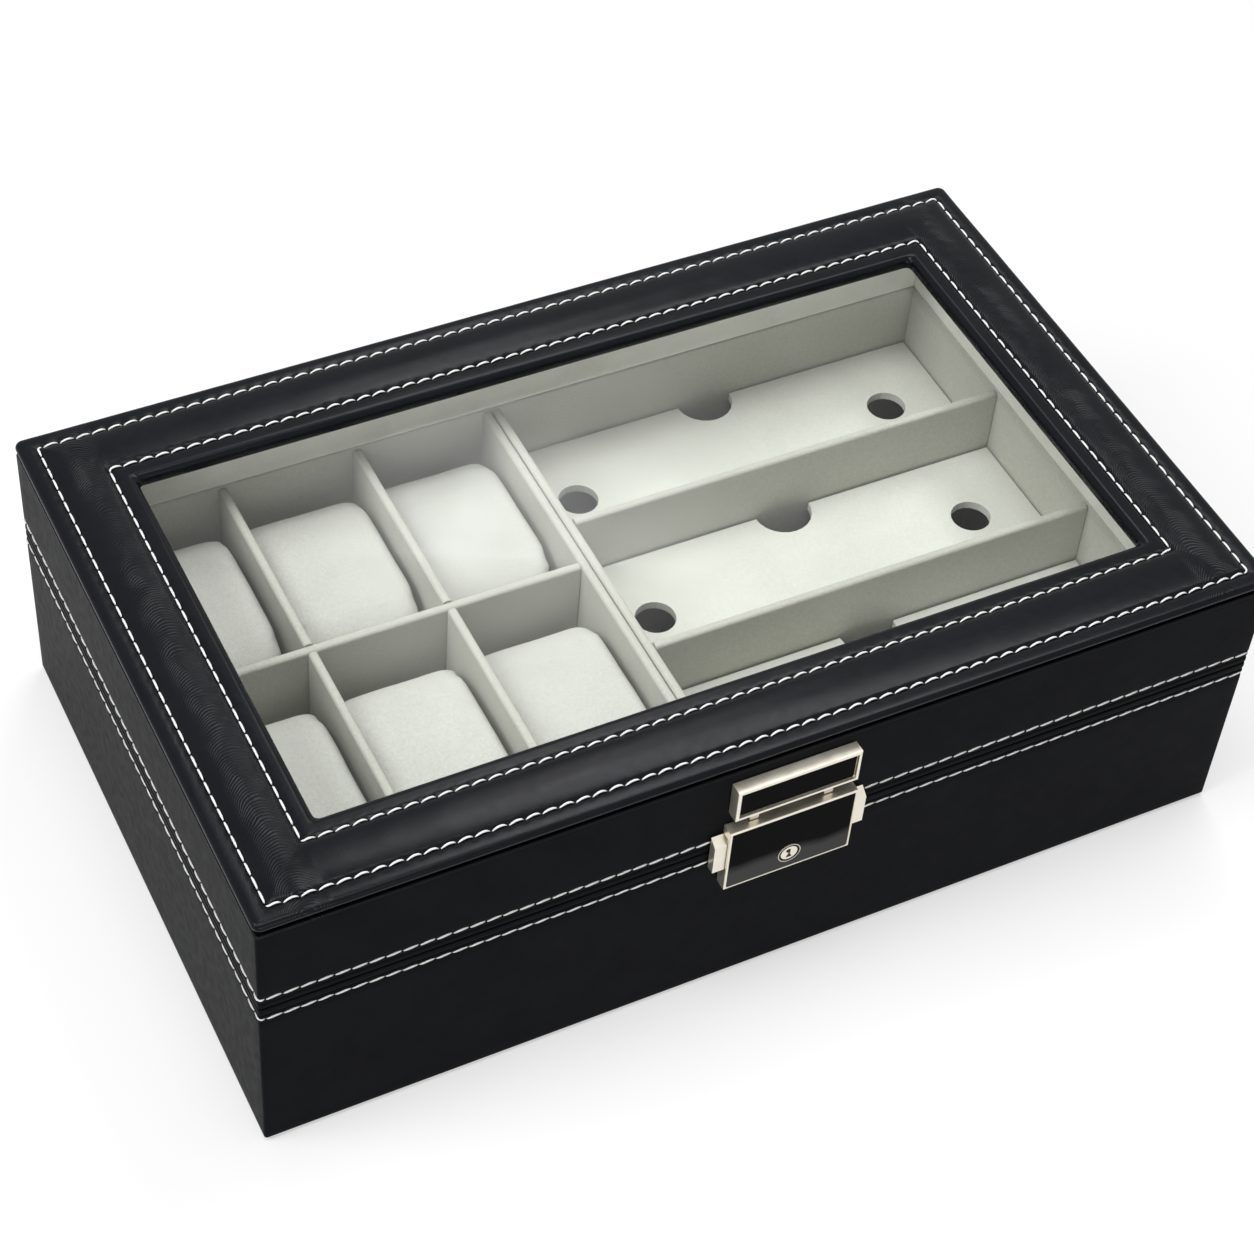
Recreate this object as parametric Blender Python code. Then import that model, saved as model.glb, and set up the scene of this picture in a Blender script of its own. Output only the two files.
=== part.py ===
"""Watch and glasses box.

A leather covered box with a padded, glass topped lid.  Inside are six watch slots with
pillows, and three glasses slots whose lift-out trays hide a deeper space.  A lock with two
side buttons and a key plug is on the front, and two hinges are at the back.

Metres, +Z up.  The origin is the middle of the underside.  -Y is the front, with the lock.
"""

import math

import bmesh
import bpy
from mathutils import Matrix, Vector

# Whole box, measured over the leather of the walls
box_length = 0.335
box_depth = 0.204
seam_height = 0.067
lid_wall_height = 0.034
corner_radius = 0.003
least_radius = 0.0004

# Gaps and overruns
fit_gap = 0.0003
seam_gap = 0.0006
collar_line_gap = 0.0006
running_gap = 0.0004
tray_gap = 0.0008
cut_overrun = 0.002
same_place = 0.00003

# Boards and skins
leather_thickness = 0.001
leather_turn_in = 0.009
base_wall_board = 0.0115
lid_wall_board = 0.011
collar_board = 0.0032
collar_rise = 0.0105
edge_round = 0.0009
felt_thickness = 0.0008
felt_inset = 0.003
bottom_board = 0.009
floor_lining = 0.0012

# Dividers
divider_board = 0.003
divider_round = 0.0011
divider_above_seam = 0.0097
watch_slot_width = 0.0436
partition_gap = 0.0004

# Watch pillows, with the room that each row leaves behind and in front of them
pillow_left_gap = 0.0005
pillow_right_gap = 0.0019
pillow_below_dividers = 0.008
back_pillow_back_gap = 0.0026
back_pillow_front_gap = 0.0049
front_pillow_back_gap = 0.006
front_pillow_front_gap = 0.0229
pillow_end_drop = 0.0016
pillow_end_round = 0.006
pillow_end_dish = 0.0012
pillow_power = 2.8

# Glasses trays and the boards they rest on
tray_below_dividers = 0.0242
tray_board = 0.003
tray_hole_radius = 0.0068
tray_hole_from_left = 0.0162
tray_hole_from_right = 0.0222
tray_notch_radius = 0.01
tray_notch_left_of_middle = 0.0015
tray_support_board = 0.003

# Padded lid frame, its core board and the glass
glass_thickness = 0.0025
pad_overhang = 0.0003
pad_corner_radius = 0.0045
window_corner_radius = 0.0022
pad_edge_height = 0.0045
pad_crown_height = 0.0059
pad_stitch_height = 0.005
outer_stitch_inset = 0.0057
inner_stitch_inset = 0.0228
window_inset = 0.0294
pad_inner_radius = 0.003
pad_skin_below = 0.001
pad_underside_turn_in = 0.009
core_board = 0.002
core_outer_inset = 0.0025
core_inner_inset = 0.027

# Hinges
hinge_from_middle = 0.105
hinge_barrel_radius = 0.0022
hinge_axis_behind_wall = 0.0027
hinge_pin_radius = 0.0008
hinge_pin_head_radius = 0.0013
hinge_pin_head = 0.0006
hinge_leaf_width = 0.022
hinge_knuckle_length = 0.005
hinge_plate = 0.001
hinge_web = 0.0014
hinge_web_from_seam = 0.0005
hinge_tang_depth = 0.011
hinge_tang_inset = 0.0075

# Lock housing on the base wall
lock_depth = 0.0046
lock_shell = 0.00065
housing_width = 0.043
housing_below_seam = 0.015
housing_height = 0.0265
face_edge_round = 0.0003
face_border = 0.0007
face_recess = 0.00015
post_width = 0.0016

# Strike on the lid wall, with two prongs that drop into the housing
strike_width = 0.0412
strike_above_housing = 0.0055
strike_height = 0.013
strike_border = 0.0011
strike_recess = 0.001
prong_from_middle = 0.0125
prong_width = 0.003
prong_thickness = 0.001
prong_behind_face = 0.0026
prong_root = 0.003
prong_tip_below_housing_top = 0.0083
hook_depth = 0.001
hook_above_tip = 0.001
hook_height = 0.0032

# Side buttons with their catches, and the springs behind them
button_width = 0.0038
button_above_housing_bottom = 0.009
button_height = 0.0113
button_slope = 0.0024
button_travel = 0.0025
catch_hook_gap = 0.0002
catch_height = 0.0024
catch_bar = 0.001
catch_bar_inner_end = 0.0062
catch_nose_width = 0.0015
spring_seat_width = 0.001
spring_radius = 0.0009
spring_wire_radius = 0.00017
spring_turns = 5

# Key plug in its sleeve
plug_above_housing_bottom = 0.0075
sleeve_radius = 0.00385
sleeve_wall = 0.0007
sleeve_stand_out = 0.0003
plug_radius = 0.00285
plug_stand_out = 0.0002
key_slot_width = 0.0008
key_slot_length = 0.0036
key_slot_depth = 0.0015
cam_length = 0.0052
cam_width = 0.0024
cam_thickness = 0.0011

# Screws that hold the housing and the strike from inside
screw_radius = 0.0012
screw_head_radius = 0.0028
screw_head = 0.0016
screw_boss_radius = 0.0025
housing_screw_from_side = 0.006
housing_screw_above_bottom = 0.005
strike_screw_from_middle = 0.0065
strike_screw_above_bottom = 0.0065

# Counts
corner_steps = 4
round_steps = 3
circle_sides = 24
small_circle_sides = 16
crown_steps = 6
edge_arc_steps = 6
pillow_sides = 24
spring_turn_points = 8
spring_wire_sides = 5

# Shares along the crowned end of a pillow, from its widest ring to its end
pillow_end_shares = (0.0, 0.35, 0.65, 0.88, 1.0)
pillow_cap_shares = (1.0, 0.8, 0.45)

# Places worked out from the sizes above
half_length = box_length / 2
half_depth = box_depth / 2
wall_outer_inset = leather_thickness + fit_gap
base_wall_inset = wall_outer_inset + base_wall_board
lid_wall_inset = wall_outer_inset + lid_wall_board
collar_outer_inset = base_wall_inset + fit_gap
interior_inset = collar_outer_inset + collar_board
liner_outer_inset = lid_wall_inset + fit_gap
inner_x = half_length - interior_inset
inner_y = half_depth - interior_inset

lid_wall_top = seam_height + lid_wall_height
base_leather_bottom = felt_thickness + fit_gap
base_leather_top = seam_height - seam_gap / 2
lid_leather_bottom = seam_height + seam_gap / 2
base_wall_bottom = base_leather_bottom + leather_thickness + fit_gap
base_wall_top = base_leather_top - leather_thickness - fit_gap
lid_wall_bottom = lid_leather_bottom + leather_thickness + fit_gap
lid_board_top = lid_wall_top - leather_thickness - fit_gap

bottom_board_top = base_leather_bottom + bottom_board
lining_bottom = bottom_board_top + fit_gap
lining_top = lining_bottom + floor_lining
floor_level = lining_top + fit_gap
collar_top = seam_height + collar_rise
divider_top = seam_height + divider_above_seam
tray_top = divider_top - tray_below_dividers
liner_bottom = collar_top + collar_line_gap
glass_bottom = lid_wall_top - glass_thickness
liner_top = glass_bottom - fit_gap

slot_pitch = watch_slot_width + divider_board
left_divider_x = -inner_x + watch_slot_width + divider_board / 2
right_divider_x = left_divider_x + slot_pitch
watch_partition_left = -inner_x + 3 * slot_pitch - divider_board
watch_partition_right = watch_partition_left + divider_board
glasses_partition_left = watch_partition_right + partition_gap
glasses_partition_right = glasses_partition_left + divider_board
back_pillow_gaps = back_pillow_back_gap + back_pillow_front_gap
front_pillow_gaps = front_pillow_back_gap + front_pillow_front_gap
pillow_width = watch_slot_width - pillow_left_gap - pillow_right_gap
pillow_length = (2 * inner_y - divider_board - back_pillow_gaps - front_pillow_gaps) / 2
pillow_height = divider_top - pillow_below_dividers - floor_level
back_pillow_y = inner_y - back_pillow_back_gap - pillow_length / 2
front_pillow_y = -inner_y + front_pillow_front_gap + pillow_length / 2
cross_divider_back = back_pillow_y - pillow_length / 2 - back_pillow_front_gap
cross_divider_front = cross_divider_back - divider_board
lap_height = (floor_level + divider_top) / 2
glasses_slot_depth = (2 * inner_y - 2 * divider_board) / 3
glasses_divider_y = (glasses_slot_depth + divider_board) / 2
glasses_slot_pitch = glasses_slot_depth + divider_board

housing_bottom = seam_height - housing_below_seam
housing_top = housing_bottom + housing_height
strike_bottom = housing_top + strike_above_housing
strike_top = strike_bottom + strike_height
prong_tip = housing_top - prong_tip_below_housing_top
hook_bottom = prong_tip + hook_above_tip
hook_top = hook_bottom + hook_height
catch_bottom = hook_bottom + catch_hook_gap
catch_top = catch_bottom + catch_height
button_bottom = housing_bottom + button_above_housing_bottom
button_top = button_bottom + button_height
plug_height = housing_bottom + plug_above_housing_bottom
housing_screw_x = housing_width / 2 - housing_screw_from_side
housing_screw_height = housing_bottom + housing_screw_above_bottom
strike_screw_height = strike_bottom + strike_screw_above_bottom

front_face = -half_depth
lock_front = front_face - lock_depth
lock_back = front_face - fit_gap
housing_cavity_front = lock_front + face_recess + lock_shell
strike_cavity_front = lock_front + strike_recess + lock_shell
prong_front = lock_front + prong_behind_face
prong_back = prong_front + prong_thickness
catch_bar_back = prong_front - fit_gap
catch_bar_front = catch_bar_back - catch_bar
catch_back = lock_back - fit_gap
spring_y = (catch_bar_front + catch_back) / 2

hinge_axis_y = half_depth + hinge_axis_behind_wall
tang_front = half_depth - hinge_tang_inset
tang_back = tang_front + hinge_plate

# Colours: (red, green, blue), roughness, metallic
finishes = {
    "black_leather": ((0.012, 0.013, 0.016), 0.42, 0.0),
    "wall_board": ((0.45, 0.33, 0.2), 0.8, 0.0),
    "suede": ((0.68, 0.67, 0.61), 0.9, 0.0),
    "felt": ((0.02, 0.02, 0.02), 0.95, 0.0),
    "glass": ((0.85, 0.92, 0.9), 0.03, 0.0),
    "nickel": ((0.78, 0.73, 0.63), 0.2, 1.0),
    "steel": ((0.6, 0.6, 0.6), 0.3, 1.0),
}


def clear_scene():
    for old in list(bpy.data.objects):
        bpy.data.objects.remove(old, do_unlink=True)


def make_material(name):
    """Makes one of the named finishes as a Principled material."""
    colour, roughness, metallic = finishes[name]
    material = bpy.data.materials.new(name)
    material.use_nodes = True
    shader = material.node_tree.nodes["Principled BSDF"]
    shader.inputs["Base Color"].default_value = (*colour, 1)
    shader.inputs["Roughness"].default_value = roughness
    shader.inputs["Metallic"].default_value = metallic
    material.diffuse_color = (*colour, 1)
    return material


def add_object(name, shape, finish, origin=(0, 0, 0), smooth_angle=None):
    """Turns a bmesh in world coordinates into an object whose origin is at the given point."""
    bmesh.ops.recalc_face_normals(shape, faces=shape.faces)
    bmesh.ops.translate(shape, verts=shape.verts, vec=-Vector(origin))
    mesh = bpy.data.meshes.new(name)
    shape.to_mesh(mesh)
    shape.free()
    if finish is not None:
        mesh.materials.append(materials[finish])
    if smooth_angle is not None:
        mesh.shade_smooth()
        mesh.set_sharp_from_angle(angle=math.radians(smooth_angle))
    piece = bpy.data.objects.new(name, mesh)
    piece.location = origin
    bpy.context.scene.collection.objects.link(piece)
    return piece


def box_shape(low, high):
    """A plain box between two corners."""
    shape = bmesh.new()
    size = [high[i] - low[i] for i in range(3)]
    middle = [(high[i] + low[i]) / 2 for i in range(3)]
    matrix = Matrix.Translation(middle) @ Matrix.Diagonal((*size, 1))
    bmesh.ops.create_cube(shape, size=1, matrix=matrix)
    return shape


def rod_shape(start, end, radius, sides=circle_sides):
    """A closed round rod between two points."""
    start = Vector(start)
    end = Vector(end)
    shape = bmesh.new()
    turn = (end - start).to_track_quat("Z", "Y").to_matrix().to_4x4()
    matrix = Matrix.Translation((start + end) / 2) @ turn
    bmesh.ops.create_cone(
        shape,
        cap_ends=True,
        segments=sides,
        radius1=radius,
        radius2=radius,
        depth=(end - start).length,
        matrix=matrix,
    )
    return shape


def outline_shape(outline, axis, start, end):
    """Extrudes a closed outline along X, Y or Z.  The outline is in the other two axes."""
    shape = bmesh.new()
    layers = []
    for level in (start, end):
        layer = []
        for u, v in outline:
            point = [u, v]
            point.insert("XYZ".index(axis), level)
            layer.append(shape.verts.new(point))
        layers.append(layer)
    count = len(outline)
    for i in range(count):
        j = (i + 1) % count
        shape.faces.new((layers[0][i], layers[0][j], layers[1][j], layers[1][i]))
    shape.faces.new(layers[0])
    shape.faces.new(layers[1])
    return shape


def round_edges(shape, radius, wanted):
    """Rounds the edges of a bmesh that the wanted test picks by their two end points."""
    edges = [edge for edge in shape.edges if wanted(edge.verts[0].co, edge.verts[1].co)]
    bmesh.ops.bevel(
        shape,
        geom=edges,
        offset=radius,
        segments=round_steps,
        profile=0.5,
        affect="EDGES",
        clamp_overlap=True,
    )
    return shape


def is_level_at(height):
    """Picks the edges that lie level at one height."""

    def test(first, second):
        return abs(first.z - height) < same_place and abs(second.z - height) < same_place

    return test


def long_edges_at(height, axis):
    """Picks the edges at one height that run along one axis."""
    level = is_level_at(height)

    def test(first, second):
        if not level(first, second):
            return False
        return all(abs(first[i] - second[i]) < same_place for i in range(3) if i != axis)

    return test


def outer_corner_edges(first, second):
    """Picks the upright edges at the outer corners of the box."""
    upright = abs(first.x - second.x) < same_place and abs(first.y - second.y) < same_place
    reach = half_length - wall_outer_inset - same_place
    side = half_depth - wall_outer_inset - same_place
    return upright and abs(first.x) > reach and abs(first.y) > side


def modify(piece, tool_shape, operation):
    """Cuts a shape out of a piece, or joins it on.  The tool itself is a hidden guide."""
    tool = add_object(piece.name + "_guide", tool_shape, None)
    tool.hide_render = True
    tool.display_type = "WIRE"
    step = piece.modifiers.new(operation.lower(), "BOOLEAN")
    step.operation = operation
    step.object = tool
    step.solver = "EXACT"


def cut(piece, tool_shape):
    modify(piece, tool_shape, "DIFFERENCE")


def join(piece, tool_shape):
    modify(piece, tool_shape, "UNION")


def wall_radius(inset):
    """The corner radius of the walls at one inset."""
    return max(corner_radius - inset, least_radius)


def pad_radius(inset):
    """The corner radius of the padded frame, from its outer corners to the window's corners."""
    window_share = (inset - inner_stitch_inset) / (window_inset - inner_stitch_inset)
    return max(pad_corner_radius - inset, window_corner_radius * window_share, least_radius)


def rounded_rectangle(inset, height, radius):
    """Points round the box at one inset from the wall faces, with rounded corners."""
    reach_x = half_length - inset - radius
    reach_y = half_depth - inset - radius
    points = []
    for turn, (side_x, side_y) in enumerate(((1, 1), (-1, 1), (-1, -1), (1, -1))):
        for step in range(corner_steps + 1):
            angle = math.pi / 2 * (turn + step / corner_steps)
            x = side_x * reach_x + radius * math.cos(angle)
            y = side_y * reach_y + radius * math.sin(angle)
            points.append((x, y, height))
    return points


def ring_shape(section, radius_at=wall_radius):
    """Carries a closed section of (inset, height) points round the whole box."""
    shape = bmesh.new()
    loops = []
    for inset, height in section:
        outline = rounded_rectangle(inset, height, radius_at(inset))
        loops.append([shape.verts.new(point) for point in outline])
    sides = len(loops[0])
    for index, loop in enumerate(loops):
        other = loops[(index + 1) % len(loops)]
        for i in range(sides):
            j = (i + 1) % sides
            shape.faces.new((loop[i], loop[j], other[j], other[i]))
    return shape


def four_boards(part, outer_inset, inner_inset, bottom, top, finish, rounding):
    """Front and back boards at full length, with the left and right boards between them."""
    x_out = half_length - outer_inset
    x_in = half_length - inner_inset
    y_out = half_depth - outer_inset
    y_in = half_depth - inner_inset
    side_y = y_in - fit_gap
    places = {
        "front": ((-x_out, -y_out), (x_out, -y_in)),
        "back": ((-x_out, y_in), (x_out, y_out)),
        "left": ((-x_out, -side_y), (-x_in, side_y)),
        "right": ((x_in, -side_y), (x_out, side_y)),
    }
    boards = {}
    for side, (low, high) in places.items():
        shape = box_shape((*low, bottom), (*high, top))
        if rounding == "corners":
            round_edges(shape, corner_radius - outer_inset, outer_corner_edges)
        if rounding == "top":
            axis = 0 if side in ("front", "back") else 1
            round_edges(shape, edge_round, long_edges_at(top, axis))
        boards[side] = add_object(f"{part}_{side}", shape, finish)
    return boards


def leather_wrap(name, bottom, top, board_inset):
    """A skin round four walls that turns in over their top and bottom edges."""
    inner = wall_outer_inset - fit_gap
    top_lip = board_inset
    section = [
        (0, bottom),
        (0, top),
        (top_lip, top),
        (top_lip, top - leather_thickness),
        (inner, top - leather_thickness),
        (inner, bottom + leather_thickness),
        (leather_turn_in, bottom + leather_thickness),
        (leather_turn_in, bottom),
    ]
    return add_object(name, ring_shape(section), "black_leather")


def build_base_case():
    """The felt, the bottom board, four walls, their leather and the suede collar."""
    felt_x = half_length - felt_inset
    felt_y = half_depth - felt_inset
    felt = box_shape((-felt_x, -felt_y, 0), (felt_x, felt_y, felt_thickness))
    add_object("base_felt", felt, "felt")

    board_x = half_length - collar_outer_inset
    board_y = half_depth - collar_outer_inset
    bottom = box_shape((-board_x, -board_y, base_leather_bottom), (board_x, board_y, bottom_board_top))
    add_object("base_board", bottom, "wall_board")
    lining = box_shape((-board_x, -board_y, lining_bottom), (board_x, board_y, lining_top))
    add_object("floor_lining", lining, "suede")

    walls = four_boards(
        "base_wall", wall_outer_inset, base_wall_inset,
        base_wall_bottom, base_wall_top, "wall_board", "corners",
    )
    four_boards(
        "collar", collar_outer_inset, interior_inset, floor_level, collar_top, "suede", "top",
    )
    leather = leather_wrap("base_leather", base_leather_bottom, base_leather_top, base_wall_inset)
    return walls, leather


def build_lid_case():
    """Four lid walls, their leather and the suede boards that line them."""
    walls = four_boards(
        "lid_wall", wall_outer_inset, lid_wall_inset,
        lid_wall_bottom, lid_board_top, "wall_board", "corners",
    )
    four_boards(
        "lid_liner", liner_outer_inset, interior_inset, liner_bottom, liner_top, "suede", "none",
    )
    leather = leather_wrap("lid_leather", lid_leather_bottom, lid_wall_top, lid_wall_inset)
    return walls, leather


def pad_section():
    """The padded frame in section: rounded edges, a crown between the stitch lines, a hollow."""
    bottom = lid_wall_top + fit_gap
    edge_radius = pad_edge_height / 2
    outer_centre = edge_radius - pad_overhang
    points = [(pad_underside_turn_in, bottom)]
    for step in range(edge_arc_steps + 1):
        angle = math.pi * step / edge_arc_steps
        inset = outer_centre - edge_radius * math.sin(angle)
        points.append((inset, bottom + edge_radius - edge_radius * math.cos(angle)))
    crown_width = inner_stitch_inset - outer_stitch_inset
    for step in range(crown_steps + 1):
        share = step / crown_steps
        rise = (pad_crown_height - pad_stitch_height) * math.sin(math.pi * share)
        height = lid_wall_top + pad_stitch_height + rise
        points.append((outer_stitch_inset + crown_width * share, height))
    inner_centre = window_inset - pad_inner_radius
    inner_top = bottom + pad_edge_height
    for step in range(edge_arc_steps // 2 + 1):
        angle = math.pi * step / edge_arc_steps
        inset = inner_centre + pad_inner_radius * math.sin(angle)
        points.append((inset, inner_top - pad_inner_radius + pad_inner_radius * math.cos(angle)))
    points.append((window_inset, bottom))
    points.append((window_inset - pad_underside_turn_in, bottom))
    hollow_bottom = bottom + pad_skin_below
    hollow_top = hollow_bottom + core_board + 2 * fit_gap
    points.append((window_inset - pad_underside_turn_in, hollow_bottom))
    points.append((core_inner_inset + fit_gap, hollow_bottom))
    points.append((core_inner_inset + fit_gap, hollow_top))
    points.append((core_outer_inset - fit_gap, hollow_top))
    points.append((core_outer_inset - fit_gap, hollow_bottom))
    points.append((pad_underside_turn_in, hollow_bottom))
    return points


def build_lid_top():
    """The padded leather frame, the board inside it and the glass under it."""
    pad = ring_shape(pad_section(), pad_radius)
    add_object("padded_frame", pad, "black_leather", smooth_angle=40)
    core_bottom = lid_wall_top + fit_gap + pad_skin_below + fit_gap
    core_top = core_bottom + core_board
    core = [
        (core_outer_inset, core_bottom),
        (core_outer_inset, core_top),
        (core_inner_inset, core_top),
        (core_inner_inset, core_bottom),
    ]
    add_object("frame_board", ring_shape(core, pad_radius), "wall_board")
    glass_x = half_length - liner_outer_inset
    glass_y = half_depth - liner_outer_inset
    glass = box_shape((-glass_x, -glass_y, glass_bottom), (glass_x, glass_y, lid_wall_top))
    add_object("glass", glass, "glass")


def upright_board(name, low, high, axis):
    """A suede covered board that stands on the floor, with a rounded top edge."""
    shape = box_shape((*low, floor_level), (*high, divider_top))
    round_edges(shape, divider_round, long_edges_at(divider_top, axis))
    return add_object(name, shape, "suede")


def build_watch_dividers():
    """Two boards along Y that carry slots for the board across them, and the two partitions."""
    reach = inner_y - fit_gap
    lap_front = cross_divider_front - fit_gap
    lap_back = cross_divider_back + fit_gap
    watch_dividers = {
        "watch_divider_left": left_divider_x,
        "watch_divider_right": right_divider_x,
    }
    for name, middle in watch_dividers.items():
        left = middle - divider_board / 2
        right = middle + divider_board / 2
        board = upright_board(name, (left, -reach), (right, reach), 1)
        low = (left - cut_overrun, lap_front, lap_height)
        high = (right + cut_overrun, lap_back, divider_top + cut_overrun)
        cut(board, box_shape(low, high))

    cross_right = watch_partition_left - fit_gap
    cross = upright_board(
        "cross_divider",
        (-inner_x + fit_gap, cross_divider_front), (cross_right, cross_divider_back), 0,
    )
    for middle in watch_dividers.values():
        left = middle - divider_board / 2 - fit_gap
        right = middle + divider_board / 2 + fit_gap
        low = (left, cross_divider_front - cut_overrun, floor_level - cut_overrun)
        high = (right, cross_divider_back + cut_overrun, lap_height + fit_gap)
        cut(cross, box_shape(low, high))

    partitions = {
        "partition_watch_side": (watch_partition_left, watch_partition_right),
        "partition_glasses_side": (glasses_partition_left, glasses_partition_right),
    }
    for name, (left, right) in partitions.items():
        upright_board(name, (left, -reach), (right, reach), 1)


def build_glasses_dividers():
    """Two boards along X, cut back at their lower corners where the tray supports pass."""
    left = glasses_partition_right + fit_gap
    right = inner_x - fit_gap
    support_top = tray_top - tray_board - fit_gap
    notch = tray_support_board + 2 * fit_gap
    places = {
        "glasses_divider_back": glasses_divider_y,
        "glasses_divider_front": -glasses_divider_y,
    }
    for name, middle in places.items():
        front = middle - divider_board / 2
        back = middle + divider_board / 2
        board = upright_board(name, (left, front), (right, back), 0)
        notches = ((left - cut_overrun, left + notch), (right - notch, right + cut_overrun))
        for low_x, high_x in notches:
            low = (low_x, front - cut_overrun, floor_level - cut_overrun)
            high = (high_x, back + cut_overrun, support_top + fit_gap)
            cut(board, box_shape(low, high))

    reach = inner_y - fit_gap
    supports = {
        "tray_support_left": (left, left + tray_support_board),
        "tray_support_right": (right - tray_support_board, right),
    }
    for name, (low_x, high_x) in supports.items():
        shape = box_shape((low_x, -reach, floor_level), (high_x, reach, support_top))
        add_object(name, shape, "suede")


def build_trays():
    """Three boards with a finger hole near each end and a half-round notch at the back."""
    left = glasses_partition_right + tray_gap
    right = inner_x - tray_gap
    bottom = tray_top - tray_board
    for name, place in (("tray_front", -1), ("tray_middle", 0), ("tray_back", 1)):
        middle = place * glasses_slot_pitch
        front = middle - glasses_slot_depth / 2 + tray_gap
        back = middle + glasses_slot_depth / 2 - tray_gap
        centre = ((left + right) / 2, middle, bottom)
        shape = box_shape((left, front, bottom), (right, back, tray_top))
        tray = add_object(name, shape, "suede", origin=centre)
        notch_x = (left + right) / 2 - tray_notch_left_of_middle
        holes = (
            (left + tray_hole_from_left, middle, tray_hole_radius),
            (right - tray_hole_from_right, middle, tray_hole_radius),
            (notch_x, back, tray_notch_radius),
        )
        for x, y, radius in holes:
            low = (x, y, bottom - cut_overrun)
            cut(tray, rod_shape(low, (x, y, tray_top + cut_overrun), radius))


def pillow_ring(shape, x, middle_y, middle_z, half_y, half_z):
    """One closed ring of a pillow, a rounded oblong across X."""
    ring = []
    for side in range(pillow_sides):
        angle = 2 * math.pi * side / pillow_sides
        across = math.cos(angle)
        up = math.sin(angle)
        y = middle_y + half_y * math.copysign(abs(across) ** (2 / pillow_power), across)
        z = middle_z + half_z * math.copysign(abs(up) ** (2 / pillow_power), up)
        ring.append(shape.verts.new((x, y, z)))
    return ring


def pillow_shape(middle_x, middle_y):
    """A crowned roll with its axis along X, drawn in and dished at its two ends."""
    shape = bmesh.new()
    middle_z = floor_level + pillow_height / 2
    stations = []
    for share in pillow_end_shares:
        bend = math.sin(math.pi / 2 * share)
        out = pillow_width / 2 - pillow_end_round * (1 - bend)
        stations.append((out, pillow_end_drop * (1 - math.cos(math.pi / 2 * share)) * share, 1.0))
    for share in pillow_cap_shares[1:]:
        dish = pillow_end_dish * (1 - share)
        stations.append((pillow_width / 2 - dish, pillow_end_drop, share))
    rings = []
    for out, drop, share in reversed(stations):
        half_y = (pillow_length / 2 - drop) * share
        half_z = (pillow_height / 2 - drop) * share
        rings.append(pillow_ring(shape, middle_x - out, middle_y, middle_z, half_y, half_z))
    for out, drop, share in stations:
        half_y = (pillow_length / 2 - drop) * share
        half_z = (pillow_height / 2 - drop) * share
        rings.append(pillow_ring(shape, middle_x + out, middle_y, middle_z, half_y, half_z))
    for ring, other in zip(rings, rings[1:]):
        for i in range(pillow_sides):
            j = (i + 1) % pillow_sides
            shape.faces.new((ring[i], ring[j], other[j], other[i]))
    shape.faces.new(rings[0])
    shape.faces.new(rings[-1])
    return shape


def build_pillows():
    """Three pillows in each row, pushed towards the back of their slots."""
    for row, middle_y in (("back", back_pillow_y), ("front", front_pillow_y)):
        for column in range(3):
            middle_x = -inner_x + column * slot_pitch + pillow_left_gap + pillow_width / 2
            name = f"pillow_{row}_{column + 1}"
            origin = (middle_x, middle_y, floor_level)
            add_object(name, pillow_shape(middle_x, middle_y), "suede", origin, smooth_angle=60)


def hinge_cuts(middle):
    """The mortise and the kerf that one hinge needs in both back walls."""
    half = hinge_leaf_width / 2 + fit_gap
    reach = hinge_web_from_seam + hinge_web + fit_gap
    mortise = box_shape(
        (middle - half, tang_front - fit_gap, seam_height - reach),
        (middle + half, half_depth + cut_overrun, seam_height + reach),
    )
    depth = hinge_web_from_seam + hinge_tang_depth + fit_gap
    kerf = box_shape(
        (middle - half, tang_front - fit_gap, seam_height - depth),
        (middle + half, tang_back + fit_gap, seam_height + depth),
    )
    return mortise, kerf


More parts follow.
